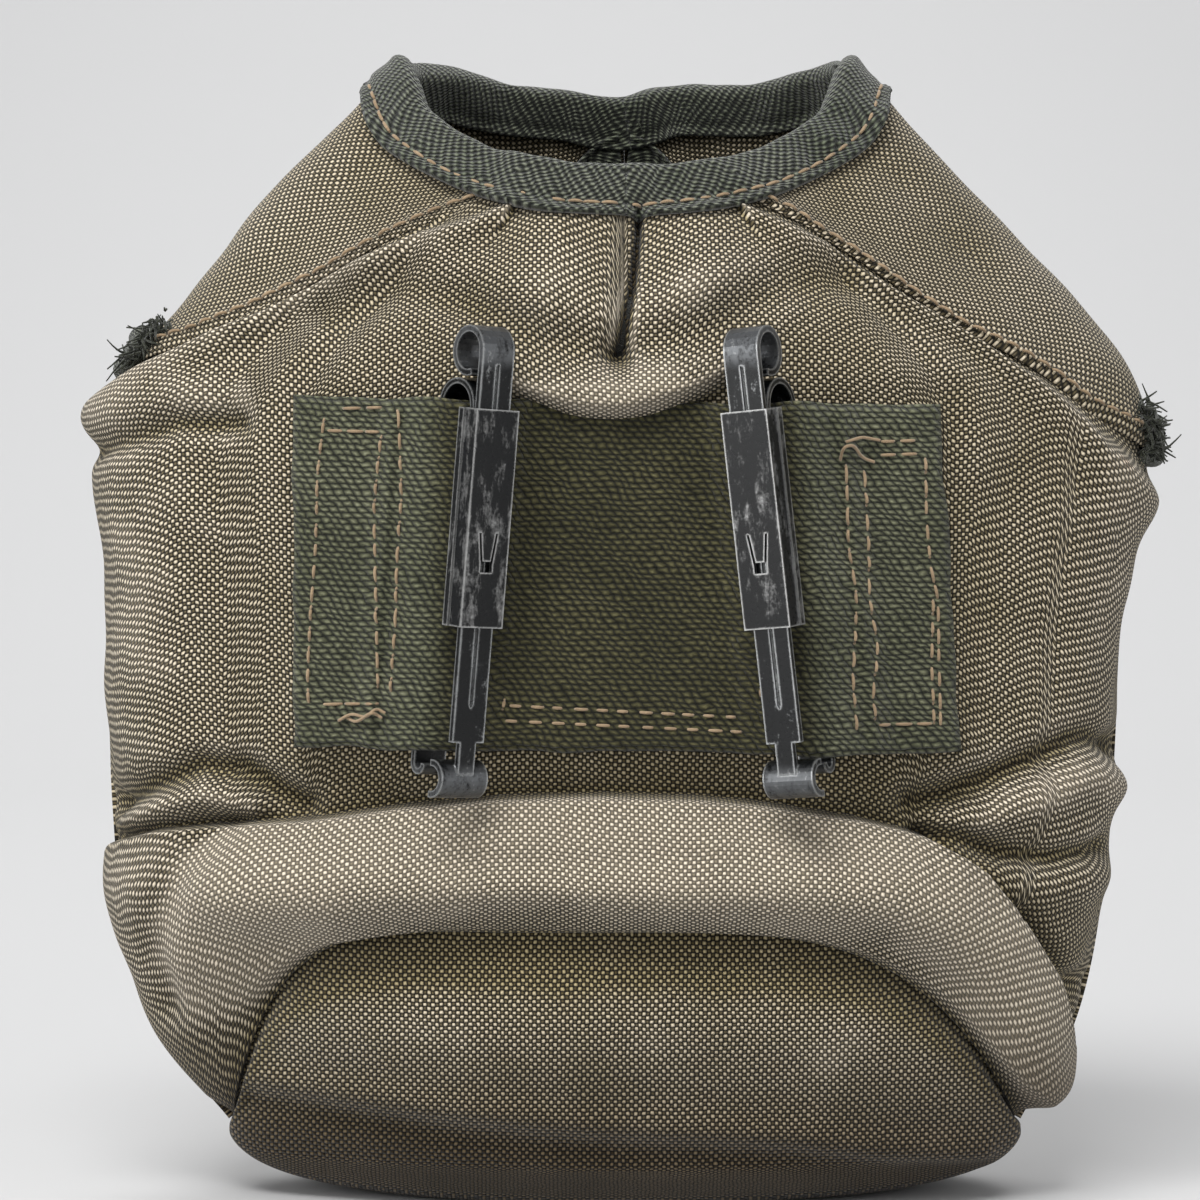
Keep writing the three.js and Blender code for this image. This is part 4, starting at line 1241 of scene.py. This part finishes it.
def frayed_ends():
    for name, (sign, fold) in flap_sides.items():
        angle = np.full(9, fold - sign * 0.26)
        height = shoulder_low(angle) + np.linspace(-0.004, 0.035, 9)
        at = off_form(angle, height, 2.2 * MM)
        fray(f"frayed_end_{name}", at, np.array([sign * 0.7, -0.5, -0.45]), "cover", 0.8 * MM, 2.3 * MM, 190)
        angle = np.full(9, fold + sign * math.acos(0.02))
        height = neck_height(angle) - np.linspace(0.0, 0.035, 9)
        at = off_form(angle, height, 5 * MM)
        fray(f"neck_fray_{name}", at, np.array([-sign * 0.4, -0.1, 0.3]), f"flap_{name}", 0.5 * MM,
             1.8 * MM, 40)


webbing_stitches()
sewing()
frayed_ends()

# ---- keepers --------------------------------------------------------------------------------
# Two belt keepers of bent spring-steel strip: a frame through the webbing, a folded sleeve on it
# and a slide with a curled top and a hook. Their black paint has worn to bare grey steel.


def rounded_shading():
    """A modifier group that shades bends smooth and leaves cut edges crisp."""
    crisp_from = math.radians(33)
    group = bpy.data.node_groups.new("rounded_shading", "GeometryNodeTree")
    for way in ("INPUT", "OUTPUT"):
        group.interface.new_socket("Geometry", in_out=way, socket_type="NodeSocketGeometry")
    start = group.nodes.new("NodeGroupInput")
    finish = group.nodes.new("NodeGroupOutput")
    smooth_faces = group.nodes.new("GeometryNodeSetShadeSmooth")
    smooth_faces.domain = "FACE"
    crisp = group.nodes.new("GeometryNodeSetShadeSmooth")
    crisp.domain = "EDGE"
    crisp.inputs["Shade Smooth"].default_value = False
    turn = group.nodes.new("GeometryNodeInputMeshEdgeAngle")
    steep = group.nodes.new("FunctionNodeCompare")
    steep.data_type = "FLOAT"
    steep.operation = "GREATER_THAN"
    steep.inputs[1].default_value = crisp_from
    link = group.links.new
    link(start.outputs[0], smooth_faces.inputs["Geometry"])
    link(smooth_faces.outputs[0], crisp.inputs["Geometry"])
    link(turn.outputs["Unsigned Angle"], steep.inputs[0])
    link(steep.outputs[0], crisp.inputs["Selection"])
    link(crisp.outputs[0], finish.inputs[0])
    return group


shading = rounded_shading()


def worn_metal(name, paint, dull, bright, wear, rubbed_ends=None):
    """Paint rubbed to dull metal in streaks and to bright metal on its edges."""
    finish = Finish(name)
    place = finish.place()
    rounded = finish.node("ShaderNodeBevel", {"samples": 6}, {"Radius": 0.7 * MM})
    flat = finish.node("ShaderNodeNewGeometry", output=1)
    agree = finish.node("ShaderNodeVectorMath", {"operation": "DOT_PRODUCT"}, {0: rounded, 1: flat}, 1)
    scuffs = finish.noise(finish.stretched(place, (1.0, 1.0, 0.4)), 420.0, 5.0, 0.65)
    chips = finish.noise(place, 1500.0, 4.0, 0.75)
    edge = ((1 - agree) * 8 + (chips - 0.5) * 1.6 + (scuffs - 0.5) * 2.2).eased(0.25, 0.9)
    rubbed = (scuffs + (chips - 0.5) * 0.3).eased(0.68 - wear, 0.84 - wear)
    if rubbed_ends:
        height = finish.part(place, 2)
        low, high = rubbed_ends
        ends = height.eased(low, low + 3 * MM, 1.0, 0.0).most(height.eased(high, high + 3 * MM))
        rubbed = rubbed.most(ends * (scuffs + (chips - 0.5) * 0.5).eased(0.3, 0.55))
    colour = finish.mixed(edge, finish.mixed(rubbed, paint, dull), bright)
    loss = rubbed.most(edge)
    finish.feed(finish.shader.inputs["Metallic"], loss * 0.85)
    rough = 0.3 + (chips - 0.5) * 0.3 + rubbed * 0.06
    return finish.paint(colour, rough, chips * 0.5 - loss, 0.05 * MM, Specular_IOR_Level=0.3)


def metal_look(node, material, round_width):
    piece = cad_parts[node]
    piece.data.materials.clear()
    piece.data.materials.append(material)
    edge = piece.modifiers.new("rounded_edges", "BEVEL")
    edge.width = round_width * MM
    edge.segments = 2
    edge.limit_method = "ANGLE"
    edge.angle_limit = math.radians(40)
    piece.modifiers.new("shading", "NODES").node_group = shading


black_steel = worn_metal("black_steel", (0.003, 0.0035, 0.004), (0.13, 0.135, 0.14), (0.42, 0.43, 0.43),
                         0.03, (75 * MM, 141 * MM))
sleeve_steel = worn_metal("sleeve_steel", (0.004, 0.0045, 0.005), (0.17, 0.17, 0.168), (0.5, 0.5, 0.49), 0.18)
dark_brass = worn_metal("dark_brass", (0.02, 0.017, 0.012), (0.16, 0.12, 0.06), (0.3, 0.23, 0.12), 0.0)
for name in ("left", "right"):
    metal_look(f"keeper_frame_{name}", black_steel, 0.16)
    metal_look(f"keeper_slide_{name}", black_steel, 0.16)
    metal_look(f"keeper_sleeve_{name}", sleeve_steel, 0.22)

# ---- snaps and drain eyelet -----------------------------------------------------------------
# Blackened brass: each flap's snap is a pressed cap and socket over a stud riveted to the front
# panel, and the drain is an eyelet set through the bottom and its lining with a washer.
for name in ("left", "right"):
    for part in ("cap", "socket", "stud", "post"):
        metal_look(f"snap_{part}_{name}", dark_brass, 0.12)
metal_look("drain_eyelet", dark_brass, 0.12)
metal_look("drain_washer", dark_brass, 0.1)
